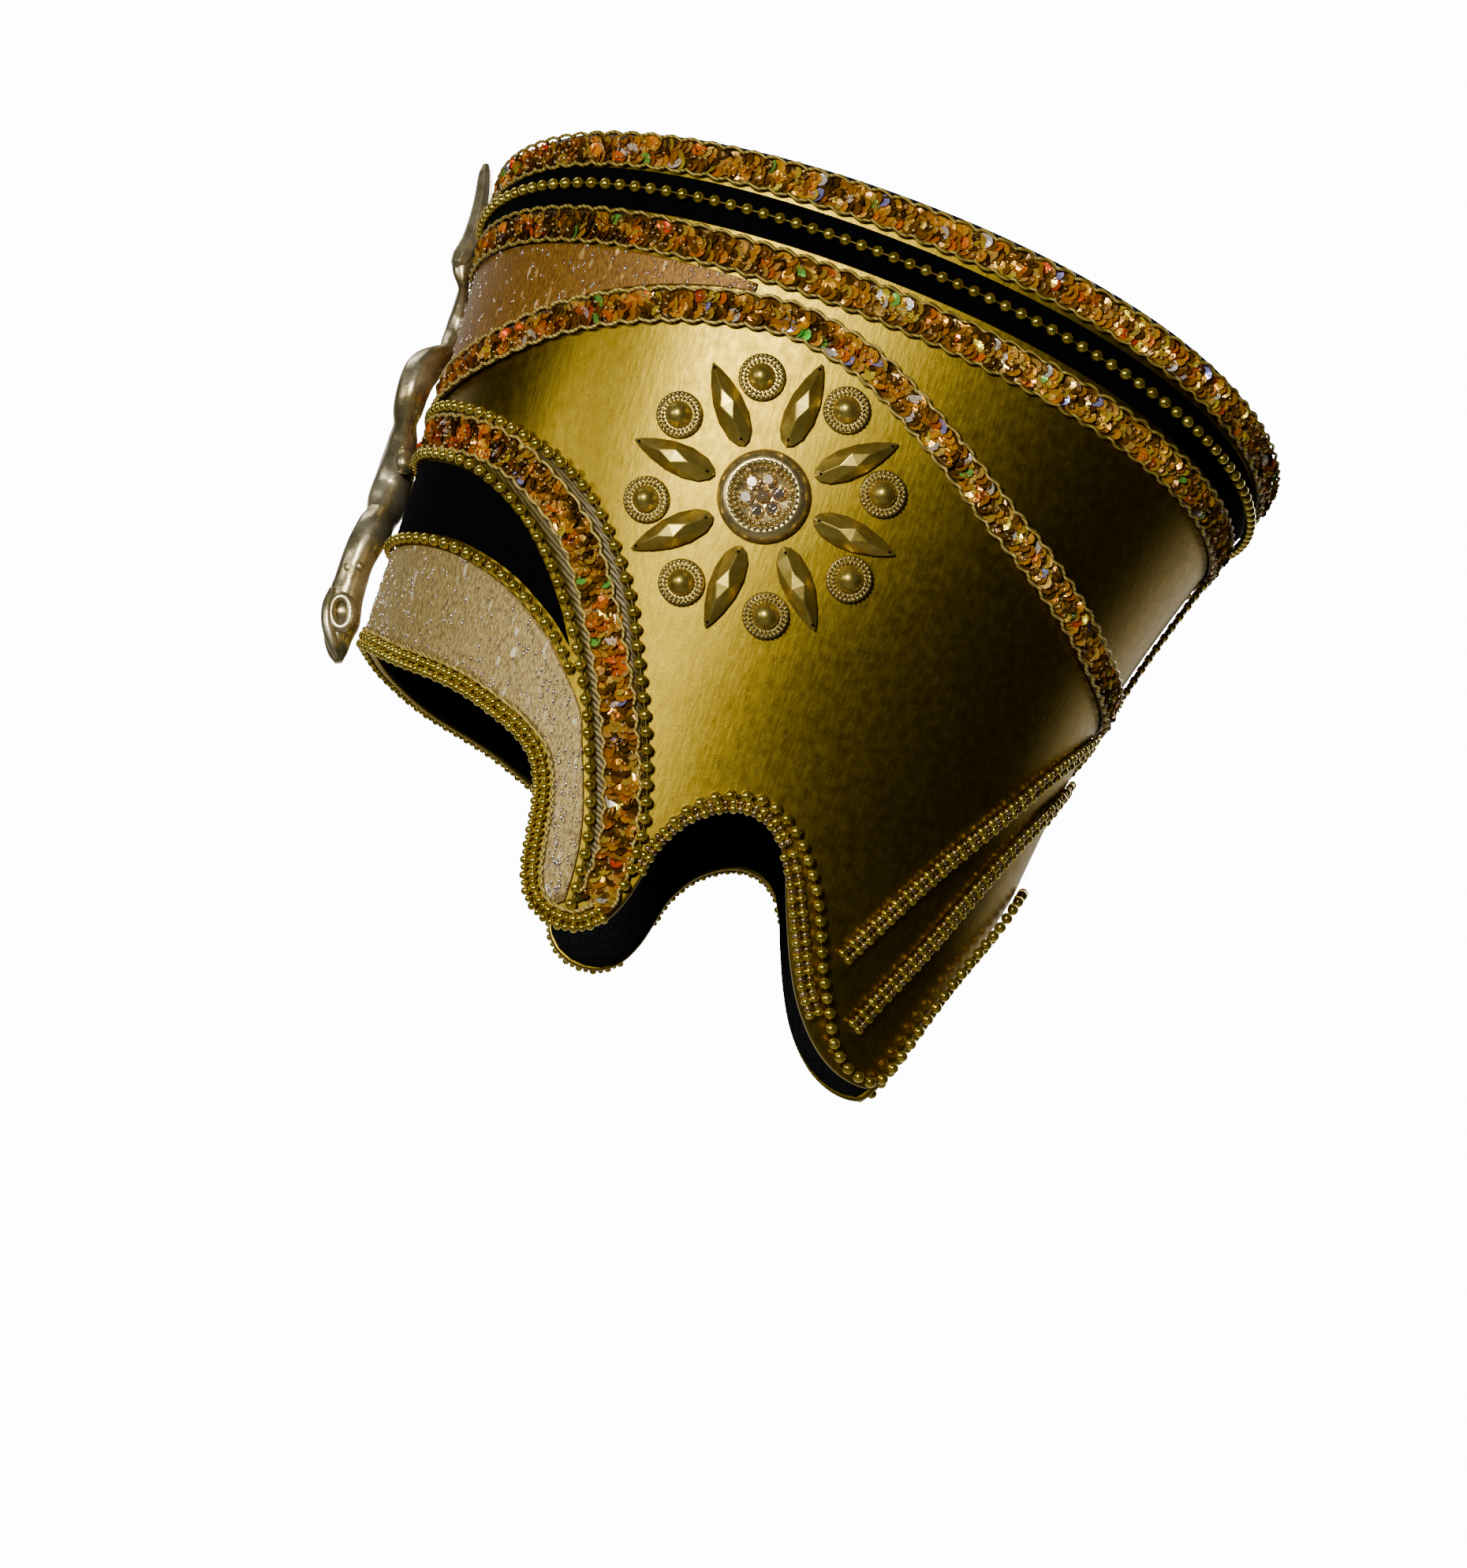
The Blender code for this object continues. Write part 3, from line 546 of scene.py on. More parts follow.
def gold_paint():
    """Satin gold paint with fine flakes, brushed up and down, worn darker in broad patches."""
    look = Look("gold_paint", "gold_paint")
    grain = look.noise(1.0, 3.0, look.place((760, 760, 95), WALL_LEAN))
    base = look.blend(look.noise(14, 3.0), 0.3, 0.7, (0.260, 0.168, 0.008), (0.320, 0.212, 0.012))
    streaked = look.blend(grain, 0.35, 0.75, base, (0.44, 0.305, 0.022), 0.5)
    colour = look.blend(look.cells(2300), 0.80, 0.95, streaked, (0.62, 0.46, 0.055), 0.45)
    speckled = look.bump(look.noise(1500), 0.20, 0.10, look.bump(grain, 0.34, 0.16))
    look.set(base_color=colour, metallic=1.0, roughness=look.vary(320, 3.0, [(0.3, 0.33), (0.7, 0.42)]),
             normal=look.bump(look.noise(22), 0.25, 1.0, speckled))


def black_cloth():
    """Matt black cloth with a plain weave."""
    look = Look("black_cloth", "black_lining")
    weave = look.noise(900)
    look.set(base_color=look.blend(weave, 0.35, 0.7, (0.002, 0.002, 0.002), (0.010, 0.0095, 0.009)),
             roughness=0.95, specular_ior_level=0.12, normal=look.bump(weave, 0.5, 0.25))


def black_velvet():
    """Deep black velvet: short pile, with sparse pale specks on the high pile painted in as glints."""
    look = Look("black_velvet", "black_velvet")
    pile = look.noise(2400)
    # Painted glints: sparse pale specks mixed into the colour where the pile is high.
    velvet_glint_specks = look.ramp(look.cells(420), [(0.975, 0.0), (0.985, 1.0)])
    colour = look.blend(pile, 0.4, 0.7, (0.0006, 0.0006, 0.0008), (0.003, 0.003, 0.004))
    velvet_glint_share = look.times(velvet_glint_specks, look.ramp(pile, [(0.55, 0.0), (0.62, 1.0)]))
    look.set(base_color=look.mix(velvet_glint_share, colour, (0.40, 0.40, 0.46)), roughness=0.95,
             specular_ior_level=0.04, normal=look.bump(pile, 0.6, 0.25))


def hologram_sequins():
    """Copper-gold film: most sequins amber, olive or brown, some flashing in other colours."""
    look = Look("hologram_sequins", "copper_sequins")
    colour = look.ramp(look.tint(), [
        (0.00, (0.050, 0.018, 0.001)), (0.20, (0.24, 0.086, 0.004)), (0.36, (0.60, 0.240, 0.009)),
        (0.54, (0.92, 0.450, 0.022)), (0.66, (0.72, 0.470, 0.046)), (0.74, (0.95, 0.560, 0.090)),
        (0.80, (1.00, 0.230, 0.006)), (0.85, (1.00, 0.460, 0.010)), (0.90, (1.00, 0.780, 0.050)),
        (0.945, (0.20, 0.850, 0.120)), (0.958, (0.95, 0.080, 0.020)), (0.972, (0.40, 0.420, 0.950)),
        (0.978, (1.00, 0.960, 0.820)),
    ], constant=True)
    film = look.times(look.ramp(look.cells(700), [(0.0, 0.0), (1.0, 1.0)]), 0.22)
    look.set(base_color=look.mix(film, colour, (0.95, 0.46, 0.02)), metallic=0.60, roughness=0.25,
             specular_ior_level=0.3, normal=look.bump(look.noise(900, 1.0), 0.35, 0.25),
             coat_weight=0.15, coat_roughness=0.10)


def woven_thread(name, slot, dark, light, metallic):
    """Metallic thread: fine slanting plies, with painted shade in the grooves between them."""
    look = Look(name, slot)
    plies_and_groove_shade = look.node("ShaderNodeTexWave", "Fac", {"Scale": 260, "Distortion": 2.0, "Vector": look.place()},
                      wave_type="BANDS", bands_direction="DIAGONAL")
    # The dark colour between the plies is painted shade in the grooves; the same bands give the bump.
    look.set(base_color=look.mix(plies_and_groove_shade, dark, light), metallic=metallic, roughness=0.42,
             normal=look.bump(plies_and_groove_shade, 0.5, 0.25))


def bead_metal(name, slot, dark, light, roughness=0.13):
    """Plated beads: bright metal that differs a little from bead to bead, dulled in places."""
    look = Look(name, slot)
    look.set(base_color=look.mix(look.tint(), dark, light), metallic=0.90,
             roughness=look.vary(700, 2.0, [(0.35, roughness), (0.7, roughness + 0.14)]))


def glitter_cloth(name, slot, ground, thread, glint):
    """Lame cloth: upright metallic threads on a knitted ground, with bright flecks painted in as glints."""
    look = Look(name, slot)
    threads = look.noise(1.0, 2.0, look.place((1900, 1900, 480), WALL_LEAN))
    flecks = look.cells(1.0, look.place((1000, 1000, 300), WALL_LEAN))
    # Painted glints: where the cells pass 0.86, the colour turns to the glint colour.
    colour = look.blend(flecks, 0.86, 0.94, look.blend(threads, 0.30, 0.70, ground, thread), glint)
    look.set(base_color=colour, metallic=0.25, roughness=0.42, specular_ior_level=0.2,
             normal=look.bump(threads, 0.6, 0.30))


def glass_fleck(name, slot, first, second):
    """Small bright flecks: mirror-backed glass."""
    look = Look(name, slot)
    look.set(base_color=look.mix(look.tint(), first, second), metallic=0.9,
             roughness=look.vary(900, 1.0, [(0.3, 0.06), (0.7, 0.16)]), coat_weight=0.6)


def cast_metal():
    """Cast serpent: pewter-gold with a browner patina in patches, dented and pitted."""
    look = Look("cast_metal", "cast_gold")
    colour = look.blend(look.noise(70, 4.0), 0.35, 0.65, (0.42, 0.325, 0.130), (0.84, 0.740, 0.460))
    dents = look.bump(look.noise(130), 0.25, 1.2, look.bump(look.noise(420, 3.0), 0.25, 0.5))
    look.set(base_color=colour, metallic=0.85, roughness=look.vary(240, 2.0, [(0.3, 0.24), (0.7, 0.38)]),
             normal=dents, coat_weight=0.25, coat_roughness=0.12)


def painted_stone():
    """Faceted stones under satin gold paint, a little uneven."""
    look = Look("painted_stone", "gold_stone")
    colour = look.blend(look.noise(160, 3.0), 0.35, 0.7, (0.50, 0.360, 0.050), (0.70, 0.530, 0.110))
    look.set(base_color=colour, metallic=0.85, roughness=look.vary(500, 2.0, [(0.3, 0.29), (0.7, 0.38)]),
             normal=look.bump(look.noise(1300), 0.10, 0.1))


def crystal():
    """Clear foil-backed crystal."""
    look = Look("crystal", "gold_stone")
    colour = look.ramp(look.tint(), [(0.0, (0.84, 0.55, 0.24)), (0.5, (0.98, 0.86, 0.56)),
                                     (1.0, (0.95, 0.66, 0.46))])
    look.set(base_color=colour, metallic=0.9, roughness=0.08, coat_weight=1.0, coat_roughness=0.02,
             normal=look.bump(look.cells(900), 0.2, 0.2))


for looks_like in (gold_paint, black_cloth, black_velvet, hologram_sequins, cast_metal, painted_stone,
                   crystal):
    looks_like()
woven_thread("trim_ribbon", "copper_sequins", (0.05, 0.022, 0.004), (0.20, 0.10, 0.018), 0.6)
woven_thread("backing_cloth", "copper_sequins", (0.05, 0.034, 0.004), (0.17, 0.118, 0.016), 0.3)
woven_thread("olive_cord", "bright_gold_beads", (0.16, 0.110, 0.010), (0.62, 0.440, 0.060), 0.3)
woven_thread("pale_cord", "bright_gold_beads", (0.30, 0.200, 0.026), (0.86, 0.640, 0.150), 0.35)
bead_metal("gold_beads", "bright_gold_beads", (0.66, 0.47, 0.026), (0.92, 0.72, 0.095))
bead_metal("silver_beads", "bright_gold_beads", (0.30, 0.185, 0.050), (0.70, 0.520, 0.220))
bead_metal("chain_links", "bright_gold_beads", (0.10, 0.070, 0.010), (0.20, 0.145, 0.030), 0.36)
bead_metal("ring_beads", "gold_stone", (0.62, 0.47, 0.12), (0.86, 0.70, 0.28))
bead_metal("polished_plate", "gold_stone", (0.80, 0.62, 0.22), (0.88, 0.70, 0.30), 0.24)
glass_fleck("seed_beads", "copper_sequins", (0.85, 0.45, 0.06), (1.0, 0.80, 0.36))
glass_fleck("cloth_flecks", "rose_glitter", (0.95, 0.80, 0.50), (0.95, 0.88, 0.96))
glitter_cloth("front_glitter", "copper_glitter", (0.130, 0.056, 0.006), (0.40, 0.185, 0.022),
              (0.98, 0.64, 0.20))
glitter_cloth("brow_glitter", "rose_glitter", (0.180, 0.112, 0.030), (0.68, 0.485, 0.165),
              (0.98, 0.88, 0.52))


# The cap

TOP_COLUMNS = 120
TOP_RINGS = 16
TOP_CROWNING = 1.6
TOP_RISE = 0.4


def wall_grid(columns, rows, top, depth=0.0, hem_rise=0.0):
    """Grid of points from the shaped hem to the top, whose columns spread evenly as they rise."""
    hem = stations(across_back(HEM), closed=True, count=columns)
    drift = (360 * np.arange(columns) / columns - hem[:, 0]) * RIM_SPREAD
    low = hem[:, 1] + hem_rise
    grid = []
    for share in np.linspace(0, 1, rows + 1):
        turned_by = drift * share * share * (3 - 2 * share)
        points, out, _ = wall_frames(np.column_stack([hem[:, 0] + turned_by, low + (top - low) * share]))
        grid.append(points - out * depth)
    return np.stack(grid, axis=1)


def add_cap():
    """Gold wall, black lining and flat black top."""
    grid = wall_grid(SHELL_COLUMNS, SHELL_ROWS, SHELL_TOP)
    wall = add_sheet("crown_wall", grid, WALL_THICKNESS, "gold_paint", "crown_shell",
                     outward=False, closed=True)
    soften(wall, 0.7, 50)
    grid = wall_grid(LINING_COLUMNS, LINING_ROWS, LINING_TOP, LINING_DEPTH, LINING_HEM_RISE)
    add_cloth("lining_cloth", grid, LINING_THICKNESS, "black_cloth", "crown_lining",
              outward=False, closed=True)
    add_top()


def add_top():
    """Flat top of black cloth: straight from side to side, bowed as the rim is, with a soft edge."""
    count = TOP_COLUMNS
    edge, _, up = wall_frames([(a, RIM_HEIGHT) for a in np.linspace(0, 360, count, endpoint=False)])
    opposite = edge[(count - np.arange(count)) % count]
    middle = (edge + opposite) / 2
    upper = []
    for k in range(1, TOP_RINGS + 1):
        share = sin(pi / 2 * k / TOP_RINGS)
        upper.append(middle + (edge - middle) * share + up * (TOP_RISE + TOP_CROWNING * (1 - share**8)))
    rings = upper + [points - np.array([0, 0, TOP_THICKNESS]) for points in reversed(upper)]
    faces = net_faces(len(rings), count, around=True)
    last = (len(rings) - 1) * count
    for k in range(count // 2):
        strip = tuple(dict.fromkeys([k, k + 1, (count - k - 1) % count, (count - k) % count]))
        faces += [strip, tuple(last + index for index in strip)]
    shapes = Shapes()
    shapes.add(np.concatenate(rings), faces)
    top = shapes.piece("top_cloth", "black_cloth", "crown_top")


# Ribbons, cords and beads

SEQUIN_PITCH = 2.1
SEQUIN_RADIUS = 2.9
SEQUIN_TILT, SEQUIN_TILT_SPREAD, SEQUIN_ROLL_SPREAD = 22, 17, 16
SEQUINS_SEWN = 0.35
SEED_BEAD_RADIUS = 0.62
RIBBON_HEIGHT = 0.5
CORD_STEP = 0.8
CORD_SCALLOP = 7.0
CORD_SWING = 1.2
CORD_RADIUS = 0.62
CORD_TUCKED, CORD_LOW = 0.7, 0.9
CHAIN_PITCH = 5.7
CHAIN_BALL = 2.0
CHAIN_LINK = 0.38
FINE_PITCH = 2.45
FINE_BEAD = 1.6
FINE_BEAD_CENTRE = 1.1
BAND_PITCH = 5.6
VELVET_THICKNESS = 0.8
FLECK_SIZES = (1.05, 0.42, 0.36)
FLECK_LEAN = 0.28
BACKING_THICKNESS = 0.35
STRING_HALF = 1.65
EDGE_CORD_INSET = 6.0
EDGE_CORD_RADIUS = 0.8
EDGE_CORD_TWIST = 6.5
EAR_ROWS_FROM = 91.5
HEM_PITCH = 5.2


def ribbon_grid(rows, width, pitch, closed, columns):
    """Points of a flat ribbon that lies on the wall along a path."""
    points, _, side, out = path_frames(rows, pitch, closed)
    shares = np.linspace(-0.5, 0.5, columns)
    return np.stack([points + out * SEAT + side * width * share for share in shares], axis=1)


def add_sequins(name, node, rows, closed, seed, row_offsets):
    """Overlapping sequins in slanting rows along a ribbon, some sewn down with a seed bead."""
    chance = np.random.default_rng(seed)
    shapes, seeds = Shapes(), Shapes()
    points, along, side, out = path_frames(rows, SEQUIN_PITCH, closed)
    count = len(points)
    for k, offset in enumerate(row_offsets):
        shift = along * SEQUIN_PITCH * (k / len(row_offsets) - 0.5)
        lean = np.radians(SEQUIN_TILT + chance.normal(0, SEQUIN_TILT_SPREAD, count))[:, None]
        roll = np.radians(chance.normal(0, SEQUIN_ROLL_SPREAD, count))[:, None]
        forward = along * np.cos(lean) + out * np.sin(lean)
        facing = out * np.cos(lean) - along * np.sin(lean)
        across = side * np.cos(roll) + facing * np.sin(roll)
        facing = np.cross(forward, across)
        radius = SEQUIN_RADIUS * chance.uniform(0.9, 1.06, count)
        axes = axes_of(forward, across, facing, np.stack([radius, radius * 0.8, radius], axis=1))
        middle = (points + shift + side * (offset + chance.normal(0, 0.25, count)[:, None])
                  + out * (SEAT + 1.0 + chance.uniform(-0.15, 0.25, count))[:, None])
        shapes.scatter(sequin(), middle, axes, chance.uniform(0, 1, count))
        sewn = chance.uniform(0, 1, count) < SEQUINS_SEWN
        seeds.scatter(ball(7, 5), (middle + facing * 0.55 + out * 0.35)[sewn],
                      axes_of(along[sewn], side[sewn], out[sewn], SEED_BEAD_RADIUS),
                      chance.uniform(0, 1, int(sewn.sum())))
    shapes.piece(f"{name}_sequins", "hologram_sequins", node, flat=True)
    seeds.piece(f"{name}_seed_beads", "seed_beads", node)


def add_scalloped_cords(name, node, rows, edge, look, closed):
    """Thin cords whose arcs swing out past the ribbon's edges, each one tucked under the next."""
    points, _, side, out = path_frames(rows, CORD_STEP, closed)
    arcs = len(points) // max(int(round(CORD_SCALLOP / CORD_STEP)), 4)
    phase = np.arange(len(points)) * arcs / len(points)
    shapes = Shapes()
    for sign, start in ((1, 0.0), (-1, 0.5)):
        share = (phase + start) % 1.0
        swing = np.sin(pi * share) * CORD_SWING - CORD_TUCKED
        rise = 1 - share + CORD_LOW
        centres = (points + side * (sign * (edge + swing))[:, None]
                   + out * (SEAT + CORD_RADIUS + rise)[:, None])
        shapes.tube(centres, side, out, CORD_RADIUS, closed=closed)
    shapes.piece(name, look, node)


def add_trim(name, node, rows, width, closed, seed, row_offsets, cord):
    """Sequin trim: dark ribbon, sequins and a scalloped cord along each edge."""
    ribbon = ribbon_grid(rows, width - 1.2, 2.0, closed, 5)
    add_sheet(f"{name}_ribbon", ribbon, RIBBON_HEIGHT, "trim_ribbon", node, closed=closed)
    add_sequins(name, node, rows, closed, seed, row_offsets)
    add_scalloped_cords(f"{name}_cords", node, rows, width / 2 - 0.5, cord, closed)


def add_ball_chain(name, node, rows, seed, out_by=SEAT + CHAIN_BALL, pitch=CHAIN_PITCH):
    """Chain of round balls joined by a thin link line."""
    chance = np.random.default_rng(seed)
    points, along, side, out = path_frames(rows, pitch)
    balls, links = Shapes(), Shapes()
    balls.scatter(ball(16, 10), points + out * out_by, axes_of(along, side, out, CHAIN_BALL),
                  chance.uniform(0, 1, len(points)))
    balls.piece(name, "gold_beads", node)
    middle, _, side, out = path_frames(rows, 1.2)
    links.tube(middle + out * out_by, side, out, CHAIN_LINK)
    links.piece(f"{name}_links", "chain_links", node)


def add_double_row(name, node, rows, seed, spread=1.55, second="silver_beads"):
    """Two rows of fine beads: gold ones, and smaller ones of a second metal in turn."""
    chance = np.random.default_rng(seed)
    gold, others = Shapes(), Shapes()
    points, along, side, out = path_frames(rows, FINE_PITCH)
    for across in (-spread, spread):
        middle = points + out * (SEAT + FINE_BEAD_CENTRE) + side * across
        for shapes, size, start in ((gold, FINE_BEAD, 0), (others, FINE_BEAD * 0.8, 1)):
            chosen = slice(start, None, 2)
            lengths = (size * 0.92, size * 1.08, size * 0.95)
            axes = axes_of(along[chosen], side[chosen], out[chosen], lengths)
            shapes.scatter(ball(), middle[chosen], axes, chance.uniform(0, 1, len(axes)))
    gold.piece(f"{name}_gold", "gold_beads", node)
    others.piece(f"{name}_second", second, node)


def add_edge_cord(name, node, rows):
    """Twisted cord that lies along a path: two plies wound round each other."""
    points, _, side, out = path_frames(rows, 1.0)
    shapes = Shapes()
    for phase in (0.0, pi):
        turns = (np.arange(len(points)) * 2 * pi / EDGE_CORD_TWIST + phase)[:, None]
        wound = (np.cos(turns) * side + np.sin(turns) * out) * EDGE_CORD_RADIUS * 0.5
        centres = points + out * (SEAT + 0.5 + EDGE_CORD_RADIUS) + wound
        shapes.tube(centres, side, out, EDGE_CORD_RADIUS * 0.62)
    shapes.piece(name, "pale_cord", node)


def add_rim():
    """Two sequin trims with the velvet band and its beads between them."""
    for name, node, (low, high), seed in (("rim_trim", "rim_sequin_trim", RIM_TRIM, 11),
                                          ("lower_trim", "lower_sequin_trim", LOWER_TRIM, 12)):
        add_trim(name, node, ring((low + high) / 2), high - low, True, seed, (-2.7, 0.0, 2.7), "olive_cord")
    low, high = BLACK_BAND
    band = ribbon_grid(ring((low + high) / 2), high - low, 3.0, True, 7)
    add_cloth("velvet_band", band, VELVET_THICKNESS, "black_velvet", "black_band", closed=True)
    heights = [(angle, BAND_STRING_HEIGHT)
               for angle in np.linspace(STRING_FRONT_END, 360 - STRING_FRONT_END, 25)]
    add_ball_chain("band_beads", "band_bead_string", heights, 21, SEAT + VELVET_THICKNESS + 0.3 + CHAIN_BALL,
                   BAND_PITCH)


def add_side_trim():
    """Sequin trim that arches over both sides, and the glitter panel above its front."""
    add_trim("side_trim", "side_sequin_trim", across_back(SIDE_TRIM), SIDE_TRIM_WIDTH, True, 13,
             (-2.6, 0.0, 2.6), "pale_cord")
    front = [row for row in SIDE_TRIM if row[0] < FRONT_PANEL_END]
    front.append((FRONT_PANEL_END, np.interp(FRONT_PANEL_END, *zip(*SIDE_TRIM))))
    lower = inset(across_front(front), SIDE_TRIM_WIDTH / 2 + PANEL_GAP)
    upper = [(angle, LOWER_TRIM[0] - PANEL_GAP) for angle, _ in lower]
    places = add_panel("front_glitter_cloth", "front_glitter_panel", lower, upper, "front_glitter")
    add_flecks("front_flecks", "front_glitter_panel", "copper_glitter", places, 420, 51)


def panel_grid(lower, upper, columns, rows):
    """Places of a fabric panel between two paths, and their points in front of the wall."""
    low_edge, high_edge = stations(lower, count=columns), stations(upper, count=columns)
    places = np.stack([low_edge + (high_edge - low_edge) * t for t in np.linspace(0, 1, rows + 1)], axis=1)
    points, out, _ = wall_frames(places)
    return places, (points + out * SEAT).reshape(columns, rows + 1, 3)


def add_panel(name, node, lower, upper, look):
    """Fabric panel on the wall between two paths."""
    places, grid = panel_grid(lower, upper, 100, 16)
    add_cloth(name, grid, PANEL_THICKNESS, look, node)
    return places


def add_flecks(name, node, slot, places, count, seed):
    """Bright flecks sewn over a glitter cloth, each leaning its own way."""
    chance = np.random.default_rng(seed)
    columns, rows = places.shape[0] - 1, places.shape[1] - 1
    i, j = chance.integers(0, columns, count), chance.integers(0, rows, count)
    u, v = chance.uniform(0, 1, (2, count, 1))
    where = ((places[i, j] * (1 - u) + places[i + 1, j] * u) * (1 - v)
             + (places[i, j + 1] * (1 - u) + places[i + 1, j + 1] * u) * v)
    points, out, up = wall_frames(where)
    across = np.cross(up, out)
    sideways, upward = chance.normal(0, FLECK_LEAN, (count, 1)), chance.normal(0, FLECK_LEAN, (count, 1))
    facing = unit(out + across * sideways + up * upward)
    along = unit(up - facing * np.sum(up * facing, axis=1, keepdims=True))
    sizes = np.array(FLECK_SIZES) * chance.uniform(0.35, 1.15, (count, 1))
    shapes = Shapes()
    shapes.scatter(ball(6, 4), points + out * (SEAT + PANEL_THICKNESS + 0.1),
                   axes_of(along, np.cross(facing, along), facing, sizes), chance.uniform(0, 1, count))
    shapes.piece(name, "cloth_flecks", node, slot=slot)


def add_brow():
    """Arched brow band: beads, sequins, beads, a black crescent and the glitter panel."""
    for name, rows, seed in (("outer", BROW_OUTER_BEADS, 31), ("inner", BROW_INNER_BEADS, 32),
                             ("divider", DIVIDER_BEADS, 33)):
        add_ball_chain(f"brow_{name}_chain", f"brow_{name}_beads", across_front(rows), seed)
    add_trim("brow_trim", "brow_sequin_trim", across_front(BROW_TRIM), BROW_TRIM_WIDTH, False, 14,
             (-4.1, -1.4, 1.4, 4.1), "pale_cord")
    _, grid = panel_grid(inset(across_front(BROW_INNER_BEADS), 0.6),
                         inset(across_front(BROW_OUTER_BEADS), -0.6), 160, 8)
    add_sheet("brow_backing", grid, BACKING_THICKNESS, "backing_cloth", "brow_sequin_trim")

    beside = STRING_HALF + PANEL_GAP
    crescent = [row for row in BROW_INNER_BEADS if row[0] < CRESCENT_END]
    add_panel("black_crescent", "brow_black_panel", inset(across_front(DIVIDER_BEADS[:-1]), beside),
              inset(across_front(crescent), -beside), "black_velvet")
    flap = [row for row in BROW_INNER_BEADS if row[1] < CHEEK_FLAP_TOP]
    edge = [row for row in HEM if row[0] < CHEEK_FLAP_EDGE]
    above_edge = DOUBLE_ROW_INSET + DOUBLE_ROW_WIDTH / 2 + PANEL_GAP + 0.4
    places = add_panel("brow_glitter_cloth", "brow_glitter_panel", inset(across_front(edge), above_edge),
                       inset(across_front(DIVIDER_BEADS[:-1] + flap), -beside), "brow_glitter")
    add_flecks("brow_flecks", "brow_glitter_panel", "rose_glitter", places, 1100, 52)


def add_edges():
    """Double rows of fine beads at the edges, and the round beads from ear to ear."""
    edge = [row for row in HEM if row[0] < EDGE_BEADS_END]
    rows = inset(across_front(edge), DOUBLE_ROW_INSET - 0.6)
    add_double_row("edge_row", "brow_edge_beads", rows, 41, spread=1.5, second="gold_beads")
    add_edge_cord("edge_cord", "brow_edge_beads", inset(across_front(edge), EDGE_CORD_INSET))
    for side, rows, seed in (("left", EAR_ROWS, 43), ("right", mirrored(EAR_ROWS), 44)):
        add_double_row(f"ear_row_{side}", f"ear_double_row_{side}", rows, seed)
    add_double_row("nape_upper", "nape_upper_row", across_back(NAPE_UPPER_ROW), 45)
    add_double_row("nape_lower", "nape_lower_row", across_back(NAPE_LOWER_ROW), 46)
    add_double_row("back_seam", "back_seam_braid", BACK_SEAM, 47)
    add_ball_chain("hem_beads", "hem_bead_string", across_back(HEM_BEADS), 42, pitch=HEM_PITCH)
    notch = inset([row for row in HEM if EAR_ROWS_FROM < row[0] < EAR_ROWS[0][0]], 1.5)
    for side, rows in (("left", notch), ("right", mirrored(notch))):
        add_double_row(f"ear_notch_{side}", f"ear_double_row_{side}", rows, 48, spread=1.0)


# Rosettes

DISC_RIM = [
    (0, 3.4), (9.4, 3.4), (10.0, 4.0), (11.0, 4.9), (12.2, 5.0), (13.4, 4.3), (14.6, 2.9), (15.3, 1.4),
    (15.5, 0.5), (15.3, 0), (0, 0),
]
CABOCHON_BASE = [(0, 1.4), (6.0, 1.4), (7.2, 1.5), (7.8, 0.8), (7.8, 0), (0, 0)]
CABOCHON_DOME = [
    (0, 6.4), (0.9, 6.3), (1.8, 6.0), (2.7, 5.4), (3.5, 4.5), (4.2, 3.4), (4.6, 2.2), (4.6, 1.0), (0, 1.0),
]
# Rings of beads: radius, height, bead radius, how many, their stretch and the turn of the first
DISC_BEADS = ((10.9, 5.3, 0.78, 36, 1.25, 0), (9.2, 4.7, 0.70, 32, 1.2, 0.07))
CABOCHON_BEADS = ((6.9, 1.9, 0.66, 30, 1.15, 0), (5.5, 2.3, 0.62, 24, 1.15, 0.08))
# Petal: half of its outline, then its facets' corners, as shares of its length, half width and height
PETAL_RIM = [(-0.5, 0), (-0.46, 0.40), (-0.36, 0.78), (-0.16, 1.0), (0.06, 0.93), (0.27, 0.62), (0.41, 0.30),
             (0.5, 0)]
PETAL_FACETS = ((-0.20, 0, 0.95), (-0.02, 0.46, 1.0), (0.16, 0, 0.95), (-0.02, -0.46, 1.0),
                (-0.38, 0, 0.62), (0.36, 0, 0.58))
PETAL_HOLES = ((-0.42, 2.65), (0.42, 2.35))
CRYSTAL_CUT = ((0.85, 0.0), (1.0, 0.35), (0.62, 0.95))
CRYSTAL_RING = 5.4
CRYSTAL_HEIGHT = 3.5


def on_wall_near(centre, angle, radius):
    """Place on the wall at a distance and direction from a centre, angle 90 being up the wall."""
    (point,), (normal,), (up,) = wall_frames([centre])
    across = unit(np.cross(up, normal))
    target = point + (across * cos(radians(angle)) + up * sin(radians(angle))) * radius
    place = np.array(centre, float)
    for _ in range(SEARCH_STEPS):
        (here,), _, (climb,) = wall_frames([place])
        ahead = wall_position([place + (1, 0)])[0] - here
        gap = target - here
        place += (gap.dot(ahead) / ahead.dot(ahead), gap.dot(climb))
    return place


def stone_frame(place, mirror, towards=None):
    """Origin and three directions of a stone on the wall, the first turned towards a place."""
    (point,), (normal,), (up,) = wall_frames([(mirror * place[0], place[1])])
    forward = up if towards is None else wall_position([(mirror * towards[0], towards[1])])[0] - point
    across = unit(forward - normal * forward.dot(normal))
    return point + normal * STONE_SEAT, np.array([across, np.cross(normal, across), normal])


def add_bead_rings(name, node, origin, axes, rings):
    """Rings of small beads round a stone."""
    shapes = Shapes()
    across, beside, normal = axes
    for radius, height, bead, count, long, phase in rings:
        turns = (np.arange(count) * 2 * pi / count + phase)[:, None]
        spokes = np.cos(turns) * across + np.sin(turns) * beside
        lengths = (bead * long, bead, bead)
        shapes.scatter(ball(8, 6), origin + spokes * radius + normal * height,
                       axes_of(spokes, np.cross(normal, spokes), np.tile(normal, (count, 1)), lengths))
    shapes.piece(name, "ring_beads", node)


